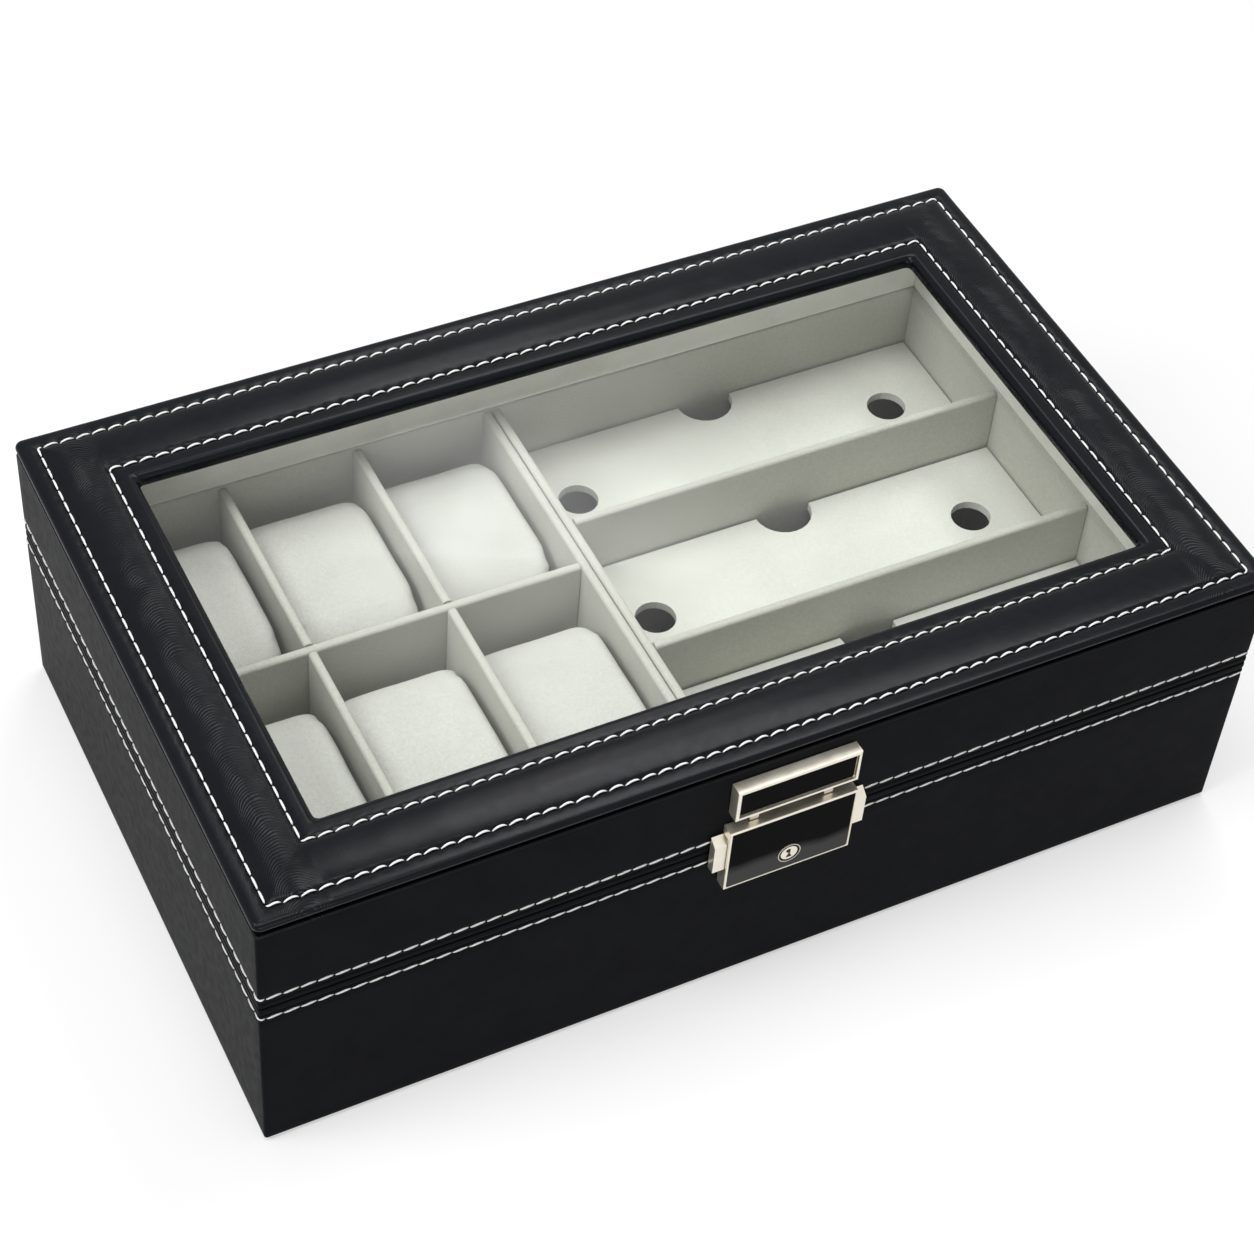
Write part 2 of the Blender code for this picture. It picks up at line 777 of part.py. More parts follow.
def build_hinge(side, middle):
    """A base leaf with two knuckles, a lid leaf with one between them, and their pin."""
    axis_point = (middle, hinge_axis_y, seam_height)
    half = hinge_leaf_width / 2
    bore = hinge_pin_radius + fit_gap
    web_back = hinge_axis_y - (hinge_barrel_radius + bore) / 2
    inner_knuckle = half - hinge_knuckle_length - running_gap

    def knuckle(low_x, high_x):
        start = (low_x, hinge_axis_y, seam_height)
        return rod_shape(start, (high_x, hinge_axis_y, seam_height), hinge_barrel_radius)

    def bore_rod():
        start = (middle - half - cut_overrun, hinge_axis_y, seam_height)
        end = (middle + half + cut_overrun, hinge_axis_y, seam_height)
        return rod_shape(start, end, bore, small_circle_sides)

    base_top = seam_height - hinge_web_from_seam
    tang = box_shape(
        (middle - half, tang_front, base_top - hinge_tang_depth), (middle + half, tang_back, base_top),
    )
    base_leaf = add_object(f"hinge_base_leaf_{side}", tang, "steel", axis_point)
    for low_x in (middle - half, middle + half - hinge_knuckle_length):
        high_x = low_x + hinge_knuckle_length
        web_low = (low_x, tang_front + hinge_plate / 2, base_top - hinge_web)
        join(base_leaf, box_shape(web_low, (high_x, web_back, base_top)))
        join(base_leaf, knuckle(low_x, high_x))
    cut(base_leaf, bore_rod())

    lid_bottom = seam_height + hinge_web_from_seam
    low_x = middle - inner_knuckle
    high_x = middle + inner_knuckle
    tang = box_shape((low_x, tang_front, lid_bottom), (high_x, tang_back, lid_bottom + hinge_tang_depth))
    lid_leaf = add_object(f"hinge_lid_leaf_{side}", tang, "steel", axis_point)
    web_low = (low_x, tang_front + hinge_plate / 2, lid_bottom)
    join(lid_leaf, box_shape(web_low, (high_x, web_back, lid_bottom + hinge_web)))
    join(lid_leaf, knuckle(low_x, high_x))
    cut(lid_leaf, bore_rod())

    pin_reach = half + fit_gap
    start = (middle - pin_reach - hinge_pin_head / 2, hinge_axis_y, seam_height)
    end = (middle + pin_reach + hinge_pin_head / 2, hinge_axis_y, seam_height)
    rod = rod_shape(start, end, hinge_pin_radius, small_circle_sides)
    pin = add_object(f"hinge_pin_{side}", rod, "steel", axis_point)
    for sign in (-1, 1):
        start = (middle + sign * pin_reach, hinge_axis_y, seam_height)
        end = (middle + sign * (pin_reach + hinge_pin_head), hinge_axis_y, seam_height)
        join(pin, rod_shape(start, end, hinge_pin_head_radius, small_circle_sides))


def screw_places(part):
    """The screws of one part of the lock, each with its name, x and height."""
    if part == "housing":
        middle, height = housing_screw_x, housing_screw_height
    else:
        middle, height = strike_screw_from_middle, strike_screw_height
    return [(f"{part}_screw_{side}", sign * middle, height) for side, sign in (("left", -1), ("right", 1))]


def build_screws(part, wall, leather, board_inset, cavity_front):
    """Two screws from inside a wall, with their holes through board and leather."""

    def rod(x, height, start_y, end_y, radius):
        return rod_shape((x, start_y, height), (x, end_y, height), radius, small_circle_sides)

    inner_face = front_face + board_inset
    head_back = inner_face - fit_gap
    head_front = head_back - screw_head
    for name, x, height in screw_places(part):
        tip = cavity_front + fit_gap
        shank = rod(x, height, tip, head_back - screw_head / 2, screw_radius)
        screw = add_object(name, shank, "steel", (x, head_back, height))
        join(screw, rod(x, height, head_front, head_back, screw_head_radius))
        for piece in (wall, leather):
            outside = front_face - cut_overrun
            cut(piece, rod(x, height, outside, inner_face + cut_overrun, screw_radius + fit_gap))
        recess_front = head_front - fit_gap
        recess_radius = screw_head_radius + fit_gap
        cut(wall, rod(x, height, recess_front, inner_face + cut_overrun, recess_radius))


def lock_front_block(name, half_width, bottom, top, border, recess):
    """The shared shape of housing and strike: a shell open at the back, with a framed face."""
    cavity_front = lock_front + recess + lock_shell
    shape = box_shape((-half_width, lock_front, bottom), (half_width, lock_back, top))

    def at_front(first, second):
        return abs(first.y - lock_front) < same_place and abs(second.y - lock_front) < same_place

    round_edges(shape, face_edge_round, at_front)
    block = add_object(name, shape, "nickel")
    panel_low = (-half_width + border, lock_front - cut_overrun, bottom + border)
    panel_high = (half_width - border, lock_front + recess, top - border)
    cut(block, box_shape(panel_low, panel_high))
    hollow_low = (-half_width + lock_shell, cavity_front, bottom + lock_shell)
    hollow_high = (half_width - lock_shell, lock_back + cut_overrun, top - lock_shell)
    cut(block, box_shape(hollow_low, hollow_high))
    return block


def add_screw_bosses(block, part, cavity_front):
    """Bored bosses behind the face, where the screws end."""
    boss_front = cavity_front - lock_shell / 2
    for _, x, height in screw_places(part):
        join(block, rod_shape((x, boss_front, height), (x, lock_back, height), screw_boss_radius))
        bore = rod_shape(
            (x, cavity_front, height), (x, lock_back + cut_overrun, height),
            screw_radius + fit_gap, small_circle_sides,
        )
        cut(block, bore)


def build_housing():
    """The lock housing, with windows for the buttons, slots for the prongs and a round hole."""
    half = housing_width / 2
    housing = lock_front_block(
        "lock_housing", half, housing_bottom, housing_top, face_border, face_recess,
    )
    window_top = button_top + button_slope + fit_gap
    for sign in (-1, 1):
        edge = sign * half
        low = (edge - cut_overrun, housing_cavity_front, button_bottom - fit_gap)
        high = (edge + cut_overrun, lock_back + cut_overrun, window_top)
        cut(housing, box_shape(low, high))
        middle = sign * prong_from_middle
        slot_half = prong_width / 2 + fit_gap
        low = (middle - slot_half, prong_front - fit_gap, housing_top - lock_shell - cut_overrun)
        high = (middle + slot_half, lock_back + cut_overrun, housing_top + cut_overrun)
        cut(housing, box_shape(low, high))
    post_low = (-post_width / 2, housing_cavity_front - lock_shell / 2, catch_bottom)
    post_high = (post_width / 2, catch_back, housing_top - lock_shell / 2)
    join(housing, box_shape(post_low, post_high))
    hole_front = (0, lock_front - cut_overrun, plug_height)
    hole_back = (0, housing_cavity_front + fit_gap, plug_height)
    cut(housing, rod_shape(hole_front, hole_back, sleeve_radius + fit_gap))
    add_screw_bosses(housing, "housing", housing_cavity_front)


def prong_outline(middle, sign):
    """A prong seen from the front, with a hook notch in the edge towards the middle."""
    outer = middle + sign * prong_width / 2
    inner = middle - sign * prong_width / 2
    notch = inner + sign * hook_depth
    top = strike_bottom + prong_root
    return [
        (outer, top),
        (outer, prong_tip),
        (inner, prong_tip),
        (inner, hook_bottom),
        (notch, hook_bottom),
        (notch, hook_top),
        (inner, hook_top),
        (inner, top),
    ]


def build_strike():
    """The strike on the lid, with its two prongs."""
    strike = lock_front_block(
        "lock_strike", strike_width / 2, strike_bottom, strike_top, strike_border, strike_recess,
    )
    for sign in (-1, 1):
        outline = prong_outline(sign * prong_from_middle, sign)
        join(strike, outline_shape(outline, "Y", prong_front, prong_back))
    add_screw_bosses(strike, "strike", strike_cavity_front)


def build_button(side, sign):
    """A side button, with the bar, nose and spring seat of its catch in one piece."""
    outer = housing_width / 2 + fit_gap + button_width
    inner = housing_width / 2 - lock_shell - fit_gap
    front = housing_cavity_front + fit_gap
    tab_outline = [
        (front, button_bottom),
        (front, button_top),
        (catch_back, button_top + button_slope),
        (catch_back, button_bottom),
    ]
    tab = outline_shape(tab_outline, "X", sign * outer, sign * inner)
    origin = (sign * outer, (front + catch_back) / 2, (button_bottom + button_top) / 2)
    button = add_object(f"button_{side}", tab, "nickel", origin)
    nose_outer = prong_from_middle - prong_width / 2 - running_gap
    nose_inner = nose_outer - catch_nose_width
    seat_outer = catch_bar_inner_end + spring_seat_width
    bar_outline = [
        (sign * (inner + fit_gap), catch_bar_front),
        (sign * catch_bar_inner_end, catch_bar_front),
        (sign * catch_bar_inner_end, catch_back),
        (sign * seat_outer, catch_back),
        (sign * seat_outer, catch_bar_back),
        (sign * nose_inner, catch_bar_back),
        (sign * nose_inner, prong_back),
        (sign * nose_outer, prong_back),
        (sign * nose_outer, catch_bar_back),
        (sign * (inner + fit_gap), catch_bar_back),
    ]
    join(button, outline_shape(bar_outline, "Z", catch_bottom, catch_top))


def tube_shape(points, radius, sides):
    """A closed tube with flat ends along a line of points."""
    shape = bmesh.new()
    rings = []
    normal = Vector((0, 0, 1))
    for index, point in enumerate(points):
        before = points[max(index - 1, 0)]
        after = points[min(index + 1, len(points) - 1)]
        along = (after - before).normalized()
        normal = (normal - along * normal.dot(along)).normalized()
        other = along.cross(normal)
        ring = []
        for side in range(sides):
            angle = 2 * math.pi * side / sides
            offset = normal * math.cos(angle) + other * math.sin(angle)
            ring.append(shape.verts.new(point + offset * radius))
        rings.append(ring)
    for ring, other_ring in zip(rings, rings[1:]):
        for i in range(sides):
            j = (i + 1) % sides
            shape.faces.new((ring[i], ring[j], other_ring[j], other_ring[i]))
    shape.faces.new(rings[0])
    shape.faces.new(rings[-1])
    return shape


def build_spring(side, sign):
    """A small coil spring between a button's seat and the post in the middle."""
    start = post_width / 2 + fit_gap + spring_wire_radius
    end = catch_bar_inner_end - fit_gap - spring_wire_radius
    height = (catch_bottom + catch_top) / 2
    points = []
    count = spring_turns * spring_turn_points
    for step in range(count + 1):
        angle = 2 * math.pi * step / spring_turn_points
        x = sign * (start + (end - start) * step / count)
        y = spring_y + spring_radius * math.sin(angle)
        points.append(Vector((x, y, height + spring_radius * math.cos(angle))))
    shape = tube_shape(points, spring_wire_radius, spring_wire_sides)
    add_object(f"button_spring_{side}", shape, "steel", (sign * start, spring_y, height), smooth_angle=80)


def build_key_plug():
    """The fixed sleeve and the plug that turns in it, with a key slot and a cam."""
    sleeve_front = lock_front - sleeve_stand_out
    sleeve_back = housing_cavity_front + fit_gap
    ring = rod_shape((0, sleeve_front, plug_height), (0, sleeve_back, plug_height), sleeve_radius)
    sleeve = add_object("cylinder_sleeve", ring, "nickel")
    bore_start = (0, sleeve_front - cut_overrun, plug_height)
    bore_end = (0, sleeve_back + cut_overrun, plug_height)
    cut(sleeve, rod_shape(bore_start, bore_end, sleeve_radius - sleeve_wall))

    plug_front = lock_front - plug_stand_out
    cam_front = sleeve_back + fit_gap
    cam_back = cam_front + cam_thickness
    origin = (0, plug_front, plug_height)
    rod = rod_shape(origin, (0, cam_back, plug_height), plug_radius)
    plug = add_object("key_plug", rod, "nickel", origin)
    cam = box_shape(
        (-cam_width / 2, cam_front, plug_height - cam_length), (cam_width / 2, cam_back, plug_height),
    )
    join(plug, cam)
    slot = box_shape(
        (-key_slot_width / 2, plug_front - cut_overrun, plug_height - key_slot_length / 2),
        (key_slot_width / 2, plug_front + key_slot_depth, plug_height + key_slot_length / 2),
    )
    cut(plug, slot)


clear_scene()
materials = {name: make_material(name) for name in finishes}
base_walls, base_leather = build_base_case()
lid_walls, lid_leather = build_lid_case()
build_lid_top()
build_watch_dividers()
build_glasses_dividers()
build_trays()
build_pillows()
for hinge_side, hinge_sign in (("left", -1), ("right", 1)):
    hinge_middle = hinge_sign * hinge_from_middle
    for back_piece in (base_walls["back"], base_leather, lid_walls["back"], lid_leather):
        for tool in hinge_cuts(hinge_middle):
            cut(back_piece, tool)
    build_hinge(hinge_side, hinge_middle)
build_screws("housing", base_walls["front"], base_leather, base_wall_inset, housing_cavity_front)
build_screws("strike", lid_walls["front"], lid_leather, lid_wall_inset, strike_cavity_front)
build_housing()
build_strike()
for button_side, button_sign in (("left", -1), ("right", 1)):
    build_button(button_side, button_sign)
    build_spring(button_side, button_sign)
build_key_plug()
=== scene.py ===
"""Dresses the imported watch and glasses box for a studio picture.

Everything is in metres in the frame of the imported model: +Z up, the lock at -Y.
"""

import math
import random

import bmesh
import bpy
from mathutils import Matrix, Vector, kdtree, noise


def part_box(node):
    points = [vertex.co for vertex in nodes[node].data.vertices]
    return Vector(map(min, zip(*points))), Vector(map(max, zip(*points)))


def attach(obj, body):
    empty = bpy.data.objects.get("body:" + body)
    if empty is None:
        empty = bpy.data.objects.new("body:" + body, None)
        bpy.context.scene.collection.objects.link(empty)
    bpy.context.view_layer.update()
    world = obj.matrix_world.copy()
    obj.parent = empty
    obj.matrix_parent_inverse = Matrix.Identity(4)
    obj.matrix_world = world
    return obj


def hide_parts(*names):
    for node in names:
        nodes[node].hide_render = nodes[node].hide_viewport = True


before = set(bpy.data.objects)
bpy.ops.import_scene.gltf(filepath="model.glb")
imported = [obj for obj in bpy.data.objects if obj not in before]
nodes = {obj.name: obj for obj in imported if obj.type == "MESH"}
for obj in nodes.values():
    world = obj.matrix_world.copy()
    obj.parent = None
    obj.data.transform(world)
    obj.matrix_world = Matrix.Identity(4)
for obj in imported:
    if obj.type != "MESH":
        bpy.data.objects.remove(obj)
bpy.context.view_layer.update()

# Camera, from a fit of the box's corners and lines to the photograph
camera_place = (-0.3233, -0.5548, 0.7543)
camera_azimuth = -30.13
camera_elevation = 47.58
camera_roll = 5.37
camera_lens = 84.59
sensor_width = 36

# Stage and light
floor_half = 4
world_fill = 0.13
floor_glow = 0.5
lamps = {
    "key_lamp": {"place": (0.55, 0.33, 1.4), "size": (0.9, 0.36), "power": 8.5},
    "back_lamp": {"place": (0.45, 0.95, 1.4), "size": (0.25, 0.5), "power": 2},
    "top_lamp": {"place": (-0.15, -0.14, 1.4), "size": (0.6, 0.5), "power": 9},
    "front_lamp": {"place": (-0.35, -1.5, 0.36), "size": (1, 0.3), "power": 8},
    "side_lamp": {"place": (-1.05, 0, 1.1), "size": (0.8, 0.8), "power": 12},
}

# Walls and lid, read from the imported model
wall_low, wall_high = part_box("base_leather")
lid_low, lid_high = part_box("lid_leather")
pad_low, pad_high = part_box("padded_frame")
half_length = wall_high.x
half_depth = wall_high.y
seam_height = (wall_high.z + lid_low.z) / 2
lid_wall_top = lid_high.z
pad_bottom = pad_low.z
pad_overhang = pad_high.x - half_length

# Leather skins of the walls
wall_corner_radius = 0.001
least_radius = 0.0004
skin_thickness = 0.001
skin_turn_in = 0.009
skin_step = 0.004
skin_coarse_step = 0.002
skin_fine_step = 0.0002
skin_edge_radius = 0.0008
seam_edge_radius = 0.0005
fold_from_seam = 0.0026
fold_depth = 0.0003
fold_width = 0.0005
wall_stitch_from_seam = 0.0047
wall_stitch_dip = 0.00022
wall_stitch_dip_width = 0.0006
hinge_notch_gap = 0.0006
hinge_notch_reach = 0.0022

# Padded frame
pad_corner_radius = 0.0024
window_corner_radius = 0.0022
pad_edge_height = 0.0045
pad_crown_height = 0.0059
pad_stitch_height = 0.0049
outer_stitch_inset = 0.0057
inner_stitch_inset = 0.0228
window_inset = 0.02955
pad_lip_radius = 0.0024
pad_groove_height = 0.0013
pad_groove_depth = 0.003
lip_foot_height = 0.0004
lip_foot_inset = 0.0003
pad_underside_turn_in = 0.009
pad_stitch_dip = 0.0004
pad_stitch_dip_width = 0.0009
pad_pucker = 0.0003
pad_pucker_reach = 0.0011
pad_ripple = 0.00006
pad_step = 0.0009
pad_first_step = 0.0004
pad_fine_step = 0.0003
pad_coarse_step = 0.0011
pad_fine_reach = 0.0015
wrinkle_pitch = 0.0011
wrinkle_middle = 0.016
wrinkle_bend = 130
wrinkle_drift = 0.006
wrinkle_height = 0.00005
wrinkle_start_before = 0.001
wrinkle_start_after = 0.002
wrinkle_end_before = 0.003

# Stitches
stitch_pitch = 0.0052
stitch_length = 0.0046
stitch_radius = 0.00037
stitch_end_radius = 0.00014
stitch_rise = 0.0004
stitch_arch = 0.00032
stitch_slant = 0.00035
stitch_straight_share = 0.2
stitch_rings = 10
stitch_corner = 0.0012
stitch_sides = 8
wall_stitch_length = 0.0051
wall_stitch_radius = 0.00037
wall_stitch_rise = 0.00034

# Pillows
pillow_start_inset = 0.0014
pillow_voxel = 0.0026
pillow_swell = 0.0022
pillow_frames = 20
pillow_pressure = 4
pillow_wave = 0.00035
pillow_fullness = 0.6
pillow_end_narrowing = 0.06
pillow_left_growth = 0.0003
pillow_right_growth = 0.0009

# Polished panels in the lock's faces
panel_gap = 0.00008
panel_thickness = 0.0003
panel_rise = 0.00012
panel_corner_radius = 0.0006
panel_bevel = 0.0001
face_border = 0.0007
face_recess = 0.00015
strike_border = 0.0011
strike_recess = 0.001
key_hole_gap = 0.0001
# The key sleeve's face is painted dark out to this radius: painted shade of the gap round the plug.
painted_gap_shade_radius = 0.00358
# Dark inlays on the key plug, a round one and a foot: painted shade where the keyhole opens.
keyhole_shade_depth = 0.00004
keyhole_shade_radius = 0.00075
keyhole_shade_shift = -0.0004
keyhole_shade_rise = 0.0011
keyhole_shade_sides = 20
keyhole_foot_shade_width = 0.0019
keyhole_foot_shade_bottom = 0.0019
keyhole_foot_shade_top = 0.0009
strike_height = 0.013
# The greyer band low on the lock's black face is a painted reflection: its top, its fade and its wobble.
painted_reflection_height = 0.0085
painted_reflection_fade = 0.004
painted_reflection_wobble = 0.004

# Finishes: depths of their relief, the blacks of the leathers, the suedes with their painted light and
# painted shade, and the metals
grain_depth = 0.00002
thread_twist_depth = 0.00012
board_chip_depth = 0.0001
felt_nap = 0.0002
ring_edge_blur = 0.00005
wall_blacks = ((0.004, 0.0044, 0.0054), (0.006, 0.0065, 0.0076))
pad_blacks = ((0.003, 0.0034, 0.005), (0.0045, 0.0052, 0.0072))
suedes = {
    # The collar's, dividers' and supports' suede is a darker, warmer copy of the tray suede: painted shade,
    # on all their faces.
    "suede_board": {"colour": (0.54, 0.535, 0.48), "speckle_share": 0.75, "nap": 0.0001, "cloud_scale": 30},
    "tray_suede": {"colour": (0.69, 0.69, 0.63), "speckle_share": 0.45, "nap": 0.0001, "cloud_scale": 30},
    # The lid's liner is a paler copy of the suede: painted light on its face that sits in shade under the
    # pad.
    "liner_suede_painted_light": {"colour": (0.8, 0.795, 0.74), "speckle_share": 0.35, "nap": 0.00008, "cloud_scale": 55},
    # The floor lining is near black: painted shade, so the holes in the trays look dark.
    "floor_suede_painted_shade": {"colour": (0.07, 0.07, 0.065), "speckle_share": 0.4, "nap": 0.00008, "cloud_scale": 55},
    "pillow_suede": {"colour": (0.58, 0.578, 0.54), "speckle_share": 0.7, "nap": 0.0002, "cloud_scale": 55},
}
metals = {
    "nickel": {"colour": (0.84, 0.79, 0.68), "roughness": (0.28, 0.4), "metallic": 0.85, "relief": 0.00002},
    "steel": {"colour": (0.55, 0.55, 0.56), "roughness": (0.25, 0.4), "metallic": 1.0, "relief": 0.00003},
}


def link(name, mesh, material=None, smooth=True):
    """Puts a mesh into the scene as one object."""
    piece = bpy.data.objects.new(name, mesh)
    bpy.context.scene.collection.objects.link(piece)
    if material is not None:
        mesh.materials.clear()
        mesh.materials.append(material)
    if smooth:
        mesh.shade_smooth()
    return piece


def shape_mesh(name, shape):
    """Turns a bmesh into a mesh whose faces point out."""
    bmesh.ops.recalc_face_normals(shape, faces=shape.faces)
    mesh = bpy.data.meshes.new(name)
    shape.to_mesh(mesh)
    shape.free()
    return mesh


class Tree:
    """A short way to write the node tree of one material."""

    def __init__(self, name):
        self.material = bpy.data.materials.new(name)
        self.material.use_nodes = True
        self.tree = self.material.node_tree
        self.shader = self.tree.nodes["Principled BSDF"]
        self.output = self.tree.nodes["Material Output"]
        self.place = self.node("ShaderNodeTexCoord").outputs["Object"]

    def node(self, kind, **settings):
        made = self.tree.nodes.new(kind)
        for key, value in settings.items():
            setattr(made, key, value)
        return made

    def wire(self, value, socket):
        """Sets a socket to a constant, or links another socket to it."""
        if isinstance(value, bpy.types.NodeSocket):
            self.tree.links.new(value, socket)
        else:
            socket.default_value = value

    def math(self, operation, first, second=0.0):
        made = self.node("ShaderNodeMath", operation=operation)
        self.wire(first, made.inputs[0])
        self.wire(second, made.inputs[1])
        return made.outputs[0]

    def stretch(self, scale):
        """The object's coordinates, scaled by one number on each axis."""
        made = self.node("ShaderNodeVectorMath", operation="MULTIPLY")
        self.wire(self.place, made.inputs[0])
        made.inputs[1].default_value = scale
        return made.outputs[0]

    def noise(self, scale, detail=3, distortion=0.0, place=None):
        made = self.node("ShaderNodeTexNoise")
        self.wire(place or self.place, made.inputs["Vector"])
        made.inputs["Scale"].default_value = scale
        made.inputs["Detail"].default_value = detail
        made.inputs["Distortion"].default_value = distortion
        return made.outputs["Fac"]

    def cells(self, scale):
        made = self.node("ShaderNodeTexVoronoi")
        self.wire(self.place, made.inputs["Vector"])
        made.inputs["Scale"].default_value = scale
        return made.outputs["Distance"]

    def ramp(self, value, low, high, low_colour, high_colour):
        """A colour that runs between two as a value runs from low to high."""
        made = self.node("ShaderNodeValToRGB")
        self.wire(value, made.inputs["Fac"])
        ends = made.color_ramp.elements
        ends[0].position = low
        ends[0].color = (*low_colour, 1)
        ends[1].position = high
        ends[1].color = (*high_colour, 1)
        return made.outputs["Color"]

    def span(self, value, low, high, to_low, to_high):
        """Maps a value's range onto another."""
        made = self.node("ShaderNodeMapRange")
        self.wire(value, made.inputs["Value"])
        made.inputs["From Min"].default_value = low
        made.inputs["From Max"].default_value = high
        made.inputs["To Min"].default_value = to_low
        made.inputs["To Max"].default_value = to_high
        return made.outputs["Result"]

    def axis(self, name):
        made = self.node("ShaderNodeSeparateXYZ")
        self.wire(self.place, made.inputs[0])
        return made.outputs[name]

    def bump(self, height, distance, strength=1.0, under=None):
        made = self.node("ShaderNodeBump")
        self.wire(height, made.inputs["Height"])
        made.inputs["Distance"].default_value = distance
        made.inputs["Strength"].default_value = strength
        if under is not None:
            self.wire(under, made.inputs["Normal"])
        return made.outputs["Normal"]

    def finish(self, **inputs):
        """Sets the Principled shader's sockets by name and gives the material back."""
        for key, value in inputs.items():
            self.wire(value, self.shader.inputs[key.replace("_", " ")])
        return self.material


def wrinkles(tree):
    """Nested arcs across the lid's side members, like a fingerprint: their height, and where they show."""
    across = tree.math("ABSOLUTE", tree.axis("X"))
    middle = half_length - wrinkle_middle
    from_middle = tree.math("SUBTRACT", across, middle)
    bend = tree.math("MULTIPLY", tree.math("MULTIPLY", from_middle, from_middle), wrinkle_bend)
    drift = tree.math("MULTIPLY", tree.noise(70, 2), wrinkle_drift)
    along = tree.math("ADD", tree.math("ADD", tree.axis("Y"), bend), drift)
    height = tree.math("SINE", tree.math("MULTIPLY", along, 2 * math.pi / wrinkle_pitch))
    inner = half_length - inner_stitch_inset
    outer = half_length - outer_stitch_inset
    fade_in = tree.span(across, inner - wrinkle_start_before, inner + wrinkle_start_after, 0, 1)
    fade_out = tree.span(across, middle, outer - wrinkle_end_before, 1, 0.1)
    band = tree.math("MULTIPLY", fade_in, fade_out)
    patches = tree.span(tree.noise(45, 2), 0.35, 0.6, 0.35, 1)
    return height, tree.math("MULTIPLY", band, patches)


def leather_material(name, wrinkled, index, roughness, colours):
    """Black leather with a fine grain and, on the side members of the lid, fingerprint wrinkles."""
    tree = Tree(name)
    grain = tree.cells(1400)
    fine = tree.noise(2600, 2)
    broad = tree.noise(60, 3)
    relief = tree.math("ADD", tree.math("MULTIPLY", grain, 0.6), tree.math("MULTIPLY", fine, 0.5))
    normal = tree.bump(relief, grain_depth, 0.6)
    if wrinkled:
        height, band = wrinkles(tree)
        normal = tree.bump(tree.math("MULTIPLY", height, band), wrinkle_height, 1, normal)
    colour = tree.ramp(broad, 0.3, 0.7, *colours)
    rough = tree.span(tree.noise(300, 3), 0.3, 0.7, *roughness)
    return tree.finish(Base_Color=colour, Roughness=rough, Normal=normal, IOR=index)


def suede_material(name, colour, speckle_share, nap, cloud_scale):
    """Short napped suede: soft mottling, fine speckle and a low sheen."""
    tree = Tree(name)
    light = tuple(min(1, c * 1.06) for c in colour)
    dark = tuple(c * 0.9 for c in colour)
    clouds = tree.math("MULTIPLY", tree.noise(cloud_scale, 4, 0.6), 1 - speckle_share)
    fibres = tree.noise(1100, 3, 0.4)
    mixed = tree.math("ADD", clouds, tree.math("MULTIPLY", fibres, speckle_share))
    shade = tree.ramp(mixed, 0.33, 0.67, dark, light)
    normal = tree.bump(fibres, nap, 0.8)
    return tree.finish(
        Base_Color=shade, Roughness=0.95, Normal=normal, Specular_IOR_Level=0.12,
        Sheen_Weight=0.12, Sheen_Roughness=0.5,
    )


def ring_material():
    """The key sleeve: nickel, painted dark inside a radius round the plug as painted shade of the gap
    there.
    """
    tree = Tree("ring")
    centre = (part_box("cylinder_sleeve")[0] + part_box("cylinder_sleeve")[1]) / 2
    x = tree.axis("X")
    z = tree.math("SUBTRACT", tree.axis("Z"), centre.z)
    squares = tree.math("ADD", tree.math("MULTIPLY", x, x), tree.math("MULTIPLY", z, z))
    radius = tree.math("SQRT", squares)
    share = tree.span(radius, painted_gap_shade_radius - ring_edge_blur, painted_gap_shade_radius + ring_edge_blur, 0, 1)
    # Painted shade: black inside the gap's radius, nickel outside.
    shade = tree.ramp(share, 0, 1, (0.01, 0.01, 0.011), (0.7, 0.67, 0.6))
    rough = tree.span(tree.noise(400, 2), 0.3, 0.7, 0.24, 0.34)
    return tree.finish(Base_Color=shade, Roughness=rough, Metallic=0.85)


def metal_material(name, colour, roughness, metallic, relief):
    """Satin metal with faint brushing and small smudges."""
    tree = Tree(name)
    lines = tree.noise(900, 3, 0, tree.stretch((0.06, 1, 1)))
    smudges = tree.noise(180, 4)
    rough = tree.span(tree.math("MULTIPLY", smudges, lines), 0.1, 0.4, *roughness)
    shade = tree.ramp(smudges, 0.3, 0.7, tuple(c * 0.93 for c in colour), colour)
    normal = tree.bump(lines, relief, 0.5)
    return tree.finish(Base_Color=shade, Roughness=rough, Metallic=metallic, Normal=normal)


def dark_mirror_material():
    """The lock's polished black face, with a painted reflection that makes it greyer towards its lower
    edge.
    """
    tree = Tree("dark_mirror")
    housing_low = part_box("lock_housing")[0]
    height = tree.math("ADD", tree.axis("Z"), tree.math("MULTIPLY", tree.noise(70, 1), painted_reflection_wobble))
    lower = housing_low.z + painted_reflection_height
    share = tree.span(height, lower, lower + painted_reflection_fade, 0, 1)
    # Painted reflection: grey low on the face, black above.
    shade = tree.ramp(share, 0, 1, (0.07, 0.07, 0.069), (0.004, 0.004, 0.0045))
    rough = tree.span(tree.noise(240, 3), 0.3, 0.7, 0.08, 0.16)
    return tree.finish(Base_Color=shade, Roughness=rough, IOR=1.06)


